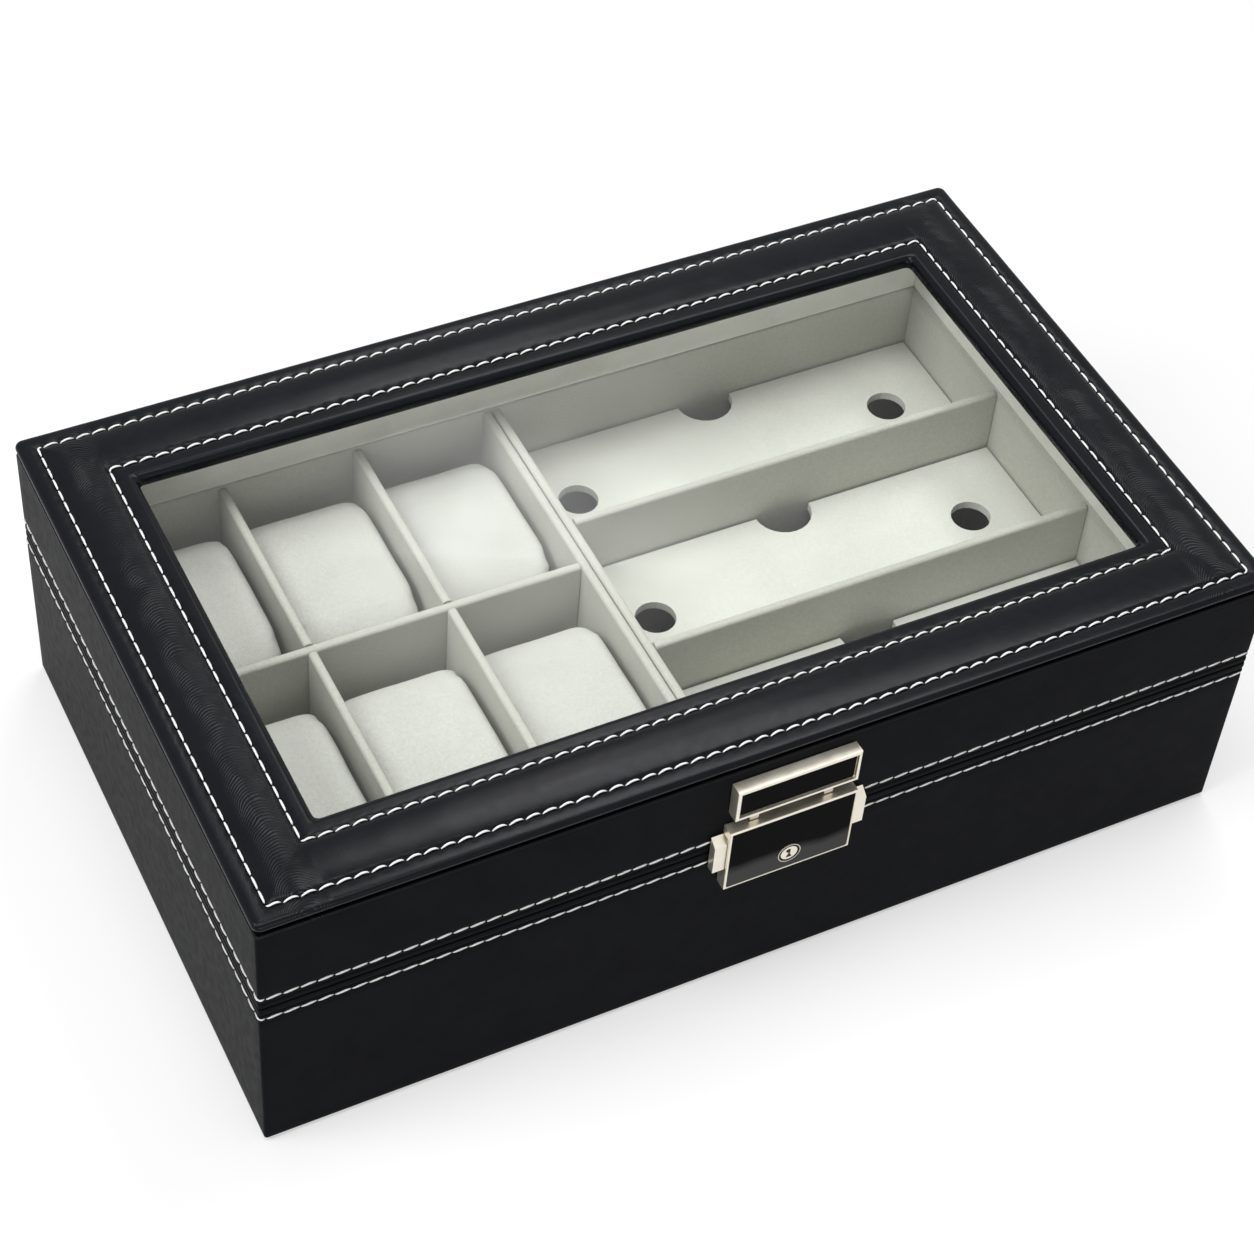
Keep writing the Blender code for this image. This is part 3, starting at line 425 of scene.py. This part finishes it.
def thread_material():
    """White sewing thread with a two ply twist."""
    tree = Tree("thread")
    tree.place = tree.node("ShaderNodeTexCoord").outputs["UV"]
    twist = tree.node("ShaderNodeTexWave", bands_direction="DIAGONAL")
    tree.wire(tree.place, twist.inputs["Vector"])
    twist.inputs["Scale"].default_value = 2.2
    shade = tree.ramp(twist.outputs["Fac"], 0.1, 0.7, (0.74, 0.74, 0.72), (0.95, 0.95, 0.93))
    normal = tree.bump(twist.outputs["Fac"], thread_twist_depth, 0.8)
    return tree.finish(
        Base_Color=shade, Roughness=0.7, Normal=normal, Specular_IOR_Level=0.3, Sheen_Weight=0.2,
    )


def board_material():
    """Pressed fibre board, seen only where nothing covers it."""
    tree = Tree("wall_board")
    chips = tree.noise(500, 5, 0.5)
    shade = tree.ramp(chips, 0.3, 0.7, (0.34, 0.24, 0.14), (0.52, 0.39, 0.25))
    return tree.finish(Base_Color=shade, Roughness=0.85, Normal=tree.bump(chips, board_chip_depth, 0.5))


def felt_material():
    """Black felt under the box."""
    tree = Tree("felt")
    fibres = tree.noise(1400, 4, 1.0)
    shade = tree.ramp(fibres, 0.3, 0.7, (0.012, 0.012, 0.012), (0.04, 0.04, 0.042))
    return tree.finish(Base_Color=shade, Roughness=0.95, Normal=tree.bump(fibres, felt_nap, 0.8))


def glass_material():
    """Clear glass that lets light through and mirrors a little, more at a slant."""
    tree = Tree("glass")
    clear = tree.node("ShaderNodeBsdfTransparent")
    clear.inputs["Color"].default_value = (0.985, 0.992, 0.988, 1)
    gloss = tree.node("ShaderNodeBsdfGlossy")
    gloss.inputs["Roughness"].default_value = 0.16
    slant = tree.node("ShaderNodeFresnel")
    slant.inputs["IOR"].default_value = 1.45
    smears = tree.span(tree.noise(25, 3), 0.3, 0.7, 0.03, 0.06)
    mix = tree.node("ShaderNodeMixShader")
    tree.wire(tree.math("MULTIPLY", slant.outputs["Fac"], smears), mix.inputs["Fac"])
    tree.wire(clear.outputs["BSDF"], mix.inputs[1])
    tree.wire(gloss.outputs["BSDF"], mix.inputs[2])
    tree.wire(mix.outputs["Shader"], tree.output.inputs["Surface"])
    return tree.material


def make_camera():
    """A camera that stands and looks as the photograph's did."""
    azimuth = math.radians(camera_azimuth)
    elevation = math.radians(camera_elevation)
    roll = math.radians(camera_roll)
    back = Vector((
        math.sin(azimuth) * math.cos(elevation),
        -math.cos(azimuth) * math.cos(elevation),
        math.sin(elevation),
    ))
    right = Vector((0, 0, 1)).cross(back).normalized()
    up = back.cross(right)
    turned_right = right * math.cos(roll) + up * math.sin(roll)
    turned_up = up * math.cos(roll) - right * math.sin(roll)
    matrix = Matrix((turned_right, turned_up, back)).transposed().to_4x4()
    matrix.translation = camera_place
    data = bpy.data.cameras.new("camera")
    data.lens = camera_lens
    data.sensor_width = sensor_width
    camera = bpy.data.objects.new("camera", data)
    camera.matrix_world = matrix
    bpy.context.scene.collection.objects.link(camera)
    bpy.context.scene.camera = camera


def make_lamp(name, place, size, power):
    """A soft lamp that points at the box."""
    light = bpy.data.lights.new(name, "AREA")
    light.energy = power
    light.shape = "RECTANGLE"
    light.size, light.size_y = size
    lamp = bpy.data.objects.new(name, light)
    lamp.location = place
    lamp.rotation_euler = (-Vector(place)).to_track_quat("-Z", "Y").to_euler()
    bpy.context.scene.collection.objects.link(lamp)


def seen_directly(tree):
    """Tells whether a ray comes from the camera, a mirror or glass."""
    path = tree.nodes.new("ShaderNodeLightPath")
    largest = path.outputs["Is Camera Ray"]
    for output in ("Is Glossy Ray", "Is Transmission Ray"):
        step = tree.nodes.new("ShaderNodeMath")
        step.operation = "MAXIMUM"
        tree.links.new(largest, step.inputs[0])
        tree.links.new(path.outputs[output], step.inputs[1])
        largest = step.outputs[0]
    return largest


def make_stage():
    """A white floor that keeps the box's shadow, a white world and the lamps."""
    corners = [(-floor_half, -floor_half, 0), (floor_half, -floor_half, 0)]
    corners += [(floor_half, floor_half, 0), (-floor_half, floor_half, 0)]
    mesh = bpy.data.meshes.new("floor")
    mesh.from_pydata(corners, [], [(0, 1, 2, 3)])
    tree = Tree("floor")
    shade = tree.ramp(tree.noise(3, 2), 0.3, 0.7, (0.44, 0.44, 0.44), (0.46, 0.46, 0.46))
    glow = tree.math("MULTIPLY", seen_directly(tree.tree), floor_glow)
    tree.shader.inputs["Emission Color"].default_value = (1, 1, 1, 1)
    tree.finish(Base_Color=shade, Roughness=0.9, Emission_Strength=glow, Specular_IOR_Level=0)
    link("floor", mesh, tree.material, smooth=False)

    world = bpy.data.worlds.new("world")
    world.use_nodes = True
    background = world.node_tree.nodes["Background"]
    background.inputs["Color"].default_value = (1, 1, 1, 1)
    strength = world.node_tree.nodes.new("ShaderNodeMapRange")
    world.node_tree.links.new(seen_directly(world.node_tree), strength.inputs["Value"])
    strength.inputs["To Min"].default_value = world_fill
    strength.inputs["To Max"].default_value = 1
    world.node_tree.links.new(strength.outputs["Result"], background.inputs["Strength"])
    bpy.context.scene.world = world
    for name, values in lamps.items():
        make_lamp(name, **values)


def ring_points(inset, height, radius, step, arc_steps):
    """Points round the box at one inset, with even steps along its sides and round corners."""
    reach_x = half_length - inset - radius
    reach_y = half_depth - inset - radius
    count_x = round(2 * half_length / step)
    count_y = round(2 * half_depth / step)
    corners = ((1, 1, count_x), (-1, 1, count_y), (-1, -1, count_x), (1, -1, count_y))
    points = []
    for turn, (side_x, side_y, count) in enumerate(corners):
        centre = Vector((side_x * reach_x, side_y * reach_y, height))
        for part in range(arc_steps + 1):
            angle = math.pi / 2 * (turn + part / arc_steps)
            points.append(centre + Vector((radius * math.cos(angle), radius * math.sin(angle), 0)))
        start = points[-1]
        next_x, next_y = corners[(turn + 1) % 4][:2]
        angle = math.pi / 2 * (turn + 1)
        end_x = next_x * reach_x + radius * math.cos(angle)
        end_y = next_y * reach_y + radius * math.sin(angle)
        end = Vector((end_x, end_y, height))
        for part in range(1, count):
            points.append(start.lerp(end, part / count))
    return points


def ring_mesh(name, section, radius_at, step, arc_steps):
    """Carries a closed section of (inset, height) points round the whole box."""
    points = []
    for inset, height in section:
        points.extend(ring_points(inset, height, radius_at(inset), step, arc_steps))
    sides = len(points) // len(section)
    faces = []
    for row in range(len(section)):
        below = row * sides
        above = (row + 1) % len(section) * sides
        for i in range(sides):
            j = (i + 1) % sides
            faces.append((below + i, below + j, above + j, above + i))
    mesh = bpy.data.meshes.new(name)
    mesh.from_pydata(points, [], faces)
    shape = bmesh.new()
    shape.from_mesh(mesh)
    bmesh.ops.recalc_face_normals(shape, faces=shape.faces)
    shape.to_mesh(mesh)
    shape.free()
    return mesh


def wall_radius(inset):
    return max(wall_corner_radius - inset, least_radius)


def pad_radius(inset):
    window_share = (inset - inner_stitch_inset) / (window_inset - inner_stitch_inset)
    return max(pad_corner_radius - inset, window_corner_radius * window_share, least_radius)


def valley(distance, width):
    """A smooth dip of depth one at distance zero."""
    return math.exp(-(distance / width) ** 2)


def pad_height(inset):
    """The height of the padded frame's upper side over its underside, without the rolled edges."""
    span = inner_stitch_inset - outer_stitch_inset
    share = (inset - outer_stitch_inset) / span
    if 0 <= share <= 1:
        swell = math.sin(math.pi * share) ** 0.75
        height = pad_stitch_height + (pad_crown_height - pad_stitch_height) * swell
    else:
        height = pad_edge_height + (pad_stitch_height - pad_edge_height) * 0.9
    for row in (outer_stitch_inset, inner_stitch_inset):
        height -= pad_stitch_dip * valley(inset - row, pad_stitch_dip_width)
    return height


def pad_section():
    """The padded frame in section, from its outer underside over the top to the window."""
    base = lid_wall_top
    bottom = pad_bottom
    roll_bottom = bottom + pad_groove_height
    points = [(pad_underside_turn_in, bottom), (pad_groove_depth, bottom), (pad_groove_depth, roll_bottom)]
    edge_radius = (pad_edge_height - pad_groove_height) / 2
    centre = edge_radius - pad_overhang
    steps = 12
    for step in range(steps + 1):
        angle = math.pi * step / steps
        rise = edge_radius * (1 - math.cos(angle))
        points.append((centre - edge_radius * math.sin(angle), roll_bottom + rise))
    inset = centre + pad_first_step
    end = window_inset - pad_lip_radius
    while inset < end:
        points.append((inset, base + pad_height(inset)))
        near = min(abs(inset - outer_stitch_inset), abs(inset - inner_stitch_inset))
        inset += pad_fine_step if near < pad_fine_reach else pad_coarse_step
    top = base + pad_height(end)
    for step in range(steps // 2 + 1):
        angle = math.pi * step / steps
        rise = pad_lip_radius * (1 - math.cos(angle))
        points.append((end + pad_lip_radius * math.sin(angle), top - rise))
    points.append((window_inset, bottom + lip_foot_height))
    points.append((window_inset - lip_foot_inset, bottom))
    points.append((window_inset - pad_underside_turn_in, bottom))
    return points


def build_pad(material):
    """The padded leather frame, with stitch channels, a pucker at each stitch's ends and faint ripples."""
    mesh = ring_mesh("padded_cover", pad_section(), pad_radius, pad_step, 8)
    ends = []
    for inset in (outer_stitch_inset, inner_stitch_inset):
        height = lid_wall_top + pad_height(inset)
        for path in place_stitches(rectangle_line(inset, height, stitch_corner), stitch_length):
            ends.append(path[-1])
    tree = kdtree.KDTree(len(ends))
    for index, end in enumerate(ends):
        tree.insert(end, index)
    tree.balance()
    upper = pad_bottom + pad_edge_height * 0.6
    for vertex in mesh.vertices:
        place = vertex.co
        if place.z < upper:
            continue
        distance = tree.find(place)[2]
        place.z += noise.noise(place * 90) * pad_ripple - pad_pucker * valley(distance, pad_pucker_reach)
    cover = link("padded_cover", mesh, material)
    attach(cover, "lid")
    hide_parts("padded_frame")


def thread_path(corners, rounding):
    """The points of a closed line with small rounded corners."""
    line = []
    count = len(corners)
    for index in range(count):
        before, here, after = corners[index - 1], corners[index], corners[(index + 1) % count]
        towards = (before - here).normalized() * rounding
        away = (after - here).normalized() * rounding
        for part in range(5):
            share = part / 4
            line.append((here + towards).lerp(here, share).lerp(here.lerp(here + away, share), share))
    return line


def place_stitches(line, length_of_one):
    """Where each stitch starts and ends along a closed line."""
    lengths = [(line[(i + 1) % len(line)] - line[i]).length for i in range(len(line))]
    total = sum(lengths)
    count = round(total / stitch_pitch)
    pitch = total / count

    def point_at(distance):
        distance %= total
        for i, length in enumerate(lengths):
            if distance <= length:
                return line[i].lerp(line[(i + 1) % len(line)], distance / length)
            distance -= length
        return line[0]

    places = []
    for index in range(count):
        middle = (index + 0.5) * pitch
        steps = [k / (stitch_rings - 1) - 0.5 for k in range(stitch_rings)]
        places.append([point_at(middle + length_of_one * step) for step in steps])
    return places


def stitch_row(name, line, length, out_of, arch_towards, radius, rise, material, body, seed):
    """One row of stitches as tapered, slightly arched threads that dip into the leather at both ends."""
    chance = random.Random(seed)
    points = []
    faces = []
    shares = []
    for path in place_stitches(line, length):
        run = path[-1] - path[0]
        arch = stitch_arch * chance.uniform(0.7, 1.25)
        slant = stitch_slant * chance.uniform(0.7, 1.25)
        if abs(run.x) < abs(run.y):
            arch *= stitch_straight_share
            slant *= stitch_straight_share
        lift = rise * chance.uniform(0.85, 1.15)
        start = len(points)
        for k, place in enumerate(path):
            share = k / (stitch_rings - 1)
            bulge = math.sin(math.pi * share) ** 0.45
            ahead = (path[min(k + 1, stitch_rings - 1)] - path[max(k - 1, 0)]).normalized()
            out = out_of(place)
            side = ahead.cross(out).normalized()
            from_left = share if run.x > 0 else 1 - share
            shift = arch * (math.sin(math.pi * from_left ** 1.3) - 0.5) + slant * (from_left - 0.5)
            centre = place + arch_towards * shift + out * (lift * bulge - radius * 0.55)
            thick = stitch_end_radius + (radius - stitch_end_radius) * bulge
            for turn in range(stitch_sides):
                angle = 2 * math.pi * turn / stitch_sides
                sideways = side * thick * math.cos(angle)
                points.append(centre + sideways + out * thick * 0.85 * math.sin(angle))
                shares.append((share * 3, turn / stitch_sides))
        for k in range(stitch_rings - 1):
            for turn in range(stitch_sides):
                other = (turn + 1) % stitch_sides
                a = start + k * stitch_sides
                b = a + stitch_sides
                faces.append((a + turn, a + other, b + other, b + turn))
        faces.append(tuple(start + turn for turn in reversed(range(stitch_sides))))
        end = start + (stitch_rings - 1) * stitch_sides
        faces.append(tuple(end + turn for turn in range(stitch_sides)))
    mesh = bpy.data.meshes.new(name)
    mesh.from_pydata(points, [], faces)
    layer = mesh.uv_layers.new(name="thread")
    for loop in mesh.loops:
        layer.data[loop.index].uv = shares[loop.vertex_index]
    row = link(name, mesh, material)
    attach(row, body)


def rectangle_line(inset, height, rounding):
    """A closed line round the box at one inset and height."""
    x = half_length - inset
    y = half_depth - inset
    corners = [Vector((*corner, height)) for corner in ((x, y), (-x, y), (-x, -y), (x, -y))]
    return thread_path(corners, rounding)


def build_stitches(material):
    """Two rows on the padded frame and one on each side of the seam."""

    def straight_up(place):
        return Vector((0, 0, 1))

    def away_from_walls(place):
        if half_length - abs(place.x) < half_depth - abs(place.y):
            return Vector((math.copysign(1, place.x), 0, 0))
        return Vector((0, math.copysign(1, place.y), 0))

    pad_rows = (("pad_outer_stitches", outer_stitch_inset), ("pad_inner_stitches", inner_stitch_inset))
    for name, inset in pad_rows:
        height = lid_wall_top + pad_height(inset) + pad_stitch_dip * 0.5
        line = rectangle_line(inset, height, stitch_corner)
        stitch_row(
            name, line, stitch_length, straight_up, Vector((0, 1, 0)), stitch_radius, stitch_rise,
            material, "lid", len(name),
        )
    rows = (("lid_seam_stitches", 1, "lid"), ("base_seam_stitches", -1, "case"))
    for name, side, body in rows:
        height = seam_height + side * wall_stitch_from_seam
        line = rectangle_line(wall_stitch_dip * 0.6, height, wall_corner_radius)
        stitch_row(
            name, line, wall_stitch_length, away_from_walls, Vector((0, 0, 1)), wall_stitch_radius,
            wall_stitch_rise, material, body, len(name),
        )


def skin_section(bottom, top, seam_at_top):
    """A wall's leather in section, with rounded edges, a fold line and the stitches' channel."""
    seam_edge = top if seam_at_top else bottom
    towards = -1 if seam_at_top else 1
    low_radius = skin_edge_radius if seam_at_top else seam_edge_radius
    high_radius = seam_edge_radius if seam_at_top else skin_edge_radius
    points = [(skin_turn_in, bottom)]
    steps = 4
    for step in range(steps + 1):
        angle = math.pi / 2 * step / steps
        rise = low_radius * (1 - math.cos(angle))
        points.append((low_radius * (1 - math.sin(angle)), bottom + rise))
    details = (
        (seam_edge + towards * fold_from_seam, fold_depth, fold_width),
        (seam_edge + towards * wall_stitch_from_seam, wall_stitch_dip, wall_stitch_dip_width),
    )
    height = bottom + low_radius
    fine_reach = 2 * fold_from_seam + wall_stitch_dip_width
    while height < top - high_radius - skin_fine_step:
        height += skin_fine_step if abs(height - seam_edge) < fine_reach else skin_coarse_step
        height = min(height, top - high_radius)
        inset = sum(depth * valley(height - middle, width) for middle, depth, width in details)
        points.append((inset, height))
    for step in range(steps + 1):
        angle = math.pi / 2 * step / steps
        drop = high_radius * (1 - math.sin(angle))
        points.append((high_radius * (1 - math.cos(angle)), top - drop))
    points.append((skin_turn_in, top))
    points.append((skin_turn_in, top - skin_thickness))
    inner = skin_thickness
    points.append((inner, top - skin_thickness))
    points.append((inner, bottom + skin_thickness))
    points.append((skin_turn_in, bottom + skin_thickness))
    return points


def notch_cutter(low, high):
    """A box that a Boolean takes out of a skin."""
    shape = bmesh.new()
    size = high - low
    matrix = Matrix.Translation((low + high) / 2) @ Matrix.Diagonal((*size, 1))
    bmesh.ops.create_cube(shape, size=1, matrix=matrix)
    return link("notch_cutter", shape_mesh("notch_cutter", shape), smooth=False)


def take_away(piece, cutter):
    """Cuts one piece with another, applies the cut and removes the cutter."""
    step = piece.modifiers.new("cut", "BOOLEAN")
    step.operation = "DIFFERENCE"
    step.object = cutter
    bpy.context.view_layer.objects.active = piece
    bpy.ops.object.modifier_apply(modifier=step.name)
    bpy.data.objects.remove(cutter, do_unlink=True)


def cut_notches(piece):
    """Cuts a skin back round both hinges, and applies the cuts."""
    for side in ("left", "right"):
        base_low, base_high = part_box(f"hinge_base_leaf_{side}")
        grow = Vector((hinge_notch_gap, hinge_notch_gap, 0))
        low = Vector((base_low.x, base_low.y, seam_height - hinge_notch_reach)) - grow
        high = Vector((base_high.x, base_high.y, seam_height + hinge_notch_reach)) + grow
        take_away(piece, notch_cutter(low, high))


def build_skins(material, rim_material):
    """The leather round the lower walls and round the lid's walls, with a glossier rim under the pad."""
    skins = (
        ("base_skin", "base_leather", wall_low.z, wall_high.z, True, "case"),
        ("lid_skin", "lid_leather", lid_low.z, lid_high.z, False, "lid"),
    )
    for name, node, bottom, top, seam_at_top, body in skins:
        mesh = ring_mesh(name, skin_section(bottom, top, seam_at_top), wall_radius, skin_step, 6)
        skin = link(name, mesh, material)
        cut_notches(skin)
        skin.data.shade_smooth()
        skin.data.set_sharp_from_angle(angle=math.radians(50))
        if name == "lid_skin":
            skin.data.materials.append(rim_material)
            for face in skin.data.polygons:
                if face.center.z > top - skin_edge_radius:
                    face.material_index = 1
        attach(skin, body)
        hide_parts(node)


def pillow_start(node):
    """A copy of a pillow's solid, drawn in a little on all sides, with even faces."""
    low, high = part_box(node)
    middle = (low + high) / 2
    size = high - low
    mesh = nodes[node].data.copy()
    mesh.name = node + "_cover"
    for vertex in mesh.vertices:
        place = vertex.co - middle
        for axis in (0, 2):
            share = min(abs(place[axis]) / (size[axis] / 2), 1) ** pillow_fullness
            place[axis] = math.copysign(share * size[axis] / 2, place[axis])
        place.x *= 1 - pillow_end_narrowing * (2 * place.y / size.y) ** 4
        for axis in range(3):
            place[axis] *= 1 - 2 * pillow_start_inset / size[axis]
        vertex.co = middle + place
    piece = link(node + "_cover", mesh)
    step = piece.modifiers.new("even", "REMESH")
    step.mode = "VOXEL"
    step.voxel_size = pillow_voxel
    bpy.context.view_layer.objects.active = piece
    bpy.ops.object.modifier_apply(modifier=step.name)
    return piece


def swell_pillows(pieces):
    """Blows the pillows up a little with Blender's cloth, all in one run, within a cap."""
    starts = {}
    for piece in pieces:
        starts[piece] = [vertex.co.copy() for vertex in piece.data.vertices]
        cloth = piece.modifiers.new("swell", "CLOTH")
        cloth.settings.use_pressure = True
        cloth.settings.uniform_pressure_force = pillow_pressure
        cloth.settings.effector_weights.gravity = 0
        cloth.settings.quality = 5
        cloth.settings.tension_stiffness = 12
        cloth.settings.compression_stiffness = 12
        cloth.settings.bending_stiffness = 2
        cloth.point_cache.frame_end = pillow_frames
    for number in range(1, pillow_frames + 1):
        bpy.context.scene.frame_set(number)
    for piece in pieces:
        bpy.context.view_layer.objects.active = piece
        bpy.ops.object.modifier_apply(modifier="swell")
        for vertex, start in zip(piece.data.vertices, starts[piece]):
            move = vertex.co - start
            if move.length > pillow_swell:
                vertex.co = start + move.normalized() * pillow_swell
    bpy.context.scene.frame_set(1)


def finish_pillow(piece, node, material):
    """One subdivision, the solid's box filled out and a little more sideways, and slight waves."""
    low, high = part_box(node)
    step = piece.modifiers.new("finer", "SUBSURF")
    step.levels = 1
    step.render_levels = 1
    bpy.context.view_layer.objects.active = piece
    bpy.ops.object.modifier_apply(modifier=step.name)
    low.x -= pillow_left_growth
    high.x += pillow_right_growth
    vertices = piece.data.vertices
    for axis in range(3):
        least = min(vertex.co[axis] for vertex in vertices)
        most = max(vertex.co[axis] for vertex in vertices)
        for vertex in vertices:
            share = (vertex.co[axis] - least) / (most - least)
            vertex.co[axis] = low[axis] + share * (high[axis] - low[axis])
    for vertex in vertices:
        place = vertex.co
        place -= vertex.normal * (pillow_wave * (0.5 + 0.5 * noise.noise(place * 75)))
    piece.data.materials.clear()
    piece.data.materials.append(material)
    piece.data.shade_smooth()
    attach(piece, node)
    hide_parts(node)


def build_pillows(material):
    """The six pillows, swollen by cloth simulation from their solids."""
    names = [f"pillow_{row}_{column}" for row in ("back", "front") for column in (1, 2, 3)]
    pieces = {name: pillow_start(name) for name in names}
    swell_pillows(list(pieces.values()))
    for name, piece in pieces.items():
        finish_pillow(piece, name, material)


def rounded_outline(left, right, bottom, top, radius):
    """The corners of a rounded rectangle in X and Z, anticlockwise seen from the front."""
    centres = ((right - radius, top - radius), (left + radius, top - radius))
    centres += ((left + radius, bottom + radius), (right - radius, bottom + radius))
    outline = []
    steps = 5
    for turn, (x, z) in enumerate(centres):
        for step in range(steps + 1):
            angle = math.pi / 2 * (turn + step / steps)
            outline.append((x + radius * math.cos(angle), z + radius * math.sin(angle)))
    return outline


def face_panel(name, node, bottom, border, recess, material, body, hole=None):
    """A thin polished plate with bevelled edges, seated in the recess of one of the lock's faces."""
    low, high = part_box(node)
    front = low.y + recess - panel_rise
    edge = border + panel_gap
    rings = []
    for inset, y in ((0, front + panel_thickness), (0, front + panel_bevel), (panel_bevel, front)):
        outline = rounded_outline(
            low.x + edge + inset, high.x - edge - inset, bottom + edge + inset, high.z - edge - inset,
            panel_corner_radius,
        )
        rings.append([Vector((x, y, z)) for x, z in outline])
    shape = bmesh.new()
    rows = [[shape.verts.new(point) for point in ring] for ring in rings]
    count = len(rows[0])
    for under, over in zip(rows, rows[1:]):
        for i in range(count):
            j = (i + 1) % count
            shape.faces.new((under[i], under[j], over[j], over[i]))
    shape.faces.new(rows[0])
    shape.faces.new(rows[-1])
    panel = link(name, shape_mesh(name, shape), material, smooth=False)
    if hole is not None:
        centre, radius = hole
        round_cut(panel, centre, radius)
    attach(panel, body)


def round_cut(piece, centre, radius):
    """Takes a round hole along Y out of a piece."""
    shape = bmesh.new()
    matrix = Matrix.Translation(centre) @ Matrix.Rotation(math.pi / 2, 4, "X")
    bmesh.ops.create_cone(
        shape, cap_ends=True, segments=64, radius1=radius, radius2=radius, depth=4 * panel_thickness,
        matrix=matrix,
    )
    take_away(piece, link("round_cutter", shape_mesh("round_cutter", shape), smooth=False))


def build_keyhole_shade_marks(material):
    """Two small dark marks inlaid in the key plug's face: painted shade where the keyhole opens."""
    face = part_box("key_plug")[0].y
    sleeve_low, sleeve_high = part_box("cylinder_sleeve")
    x = (sleeve_low.x + sleeve_high.x) / 2
    z = (sleeve_low.z + sleeve_high.z) / 2
    round_x = x + keyhole_shade_shift
    round_z = z + keyhole_shade_rise
    turns = [2 * math.pi * i / keyhole_shade_sides for i in range(keyhole_shade_sides)]
    round_keyhole_shade = [
        (round_x + keyhole_shade_radius * math.cos(turn), round_z + keyhole_shade_radius * math.sin(turn))
        for turn in turns
    ]
    foot = [
        (x - keyhole_foot_shade_width / 2, z - keyhole_foot_shade_bottom), (x + keyhole_foot_shade_width / 2, z - keyhole_foot_shade_bottom),
        (x + keyhole_foot_shade_width / 3, z - keyhole_foot_shade_top), (x - keyhole_foot_shade_width / 3, z - keyhole_foot_shade_top),
    ]
    shape = bmesh.new()
    for outline in (round_keyhole_shade, foot):
        front = [shape.verts.new((px, face - keyhole_shade_depth, pz)) for px, pz in outline]
        back = [shape.verts.new((px, face + keyhole_shade_depth, pz)) for px, pz in outline]
        shape.faces.new(front)
        shape.faces.new(back)
        for i in range(len(outline)):
            j = (i + 1) % len(outline)
            shape.faces.new((front[i], front[j], back[j], back[i]))
    marks = link("keyhole_shade_marks", shape_mesh("keyhole_shade_marks", shape), material, smooth=False)
    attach(marks, "key_plug")


def build_lock_panels(material):
    """The polished black faces of the housing and of the strike."""
    sleeve_low, sleeve_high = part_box("cylinder_sleeve")
    centre = (sleeve_low + sleeve_high) / 2
    housing_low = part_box("lock_housing")[0]
    centre.y = housing_low.y
    hole = (centre, (sleeve_high.x - sleeve_low.x) / 2 + key_hole_gap)
    face_panel(
        "housing_panel", "lock_housing", housing_low.z, face_border, face_recess, material, "case", hole,
    )
    strike_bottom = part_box("lock_strike")[1].z - strike_height
    face_panel("strike_panel", "lock_strike", strike_bottom, strike_border, strike_recess, material, "lid")


def dress_nodes(finishes):
    """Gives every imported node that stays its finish."""
    families = {
        "wall_board": ("base_wall", "lid_wall", "base_board", "frame_board"),
        "liner_suede_painted_light": ("lid_liner",),
        "suede_board": (
            "collar", "watch_divider", "cross_divider", "partition", "glasses_divider",
            "tray_support",
        ),
        "tray_suede": ("tray_back", "tray_middle", "tray_front"),
        "floor_suede_painted_shade": ("floor_lining",),
        "felt": ("base_felt",),
        "glass": ("glass",),
        "nickel": ("lock_housing", "lock_strike", "button", "key_plug"),
        "ring": ("cylinder_sleeve",),
        "steel": ("hinge", "housing_screw", "strike_screw", "button_spring"),
    }
    for finish, starts in families.items():
        for name, piece in nodes.items():
            if any(name == start or name.startswith(start + "_") for start in starts):
                if not piece.material_slots:
                    piece.data.materials.append(None)
                for slot in piece.material_slots:
                    slot.material = finishes[finish]


make_camera()
make_stage()
leather = leather_material("wall_leather", False, 1.08, (0.4, 0.48), wall_blacks)
pad_leather = leather_material("pad_leather", True, 1.19, (0.19, 0.26), pad_blacks)
thread = thread_material()
finishes = {
    "wall_board": board_material(),
    "felt": felt_material(),
    "glass": glass_material(),
    "ring": ring_material(),
}
for name, values in suedes.items():
    finishes[name] = suede_material(name, **values)
for name, values in metals.items():
    finishes[name] = metal_material(name, **values)
dress_nodes(finishes)
build_pad(pad_leather)
build_stitches(thread)
build_skins(leather, pad_leather)
dark_mirror = dark_mirror_material()
build_lock_panels(dark_mirror)
# Painted shade of the keyhole on the key plug.
build_keyhole_shade_marks(dark_mirror)
build_pillows(finishes["pillow_suede"])

scene = bpy.context.scene
scene.view_settings.view_transform = "Standard"
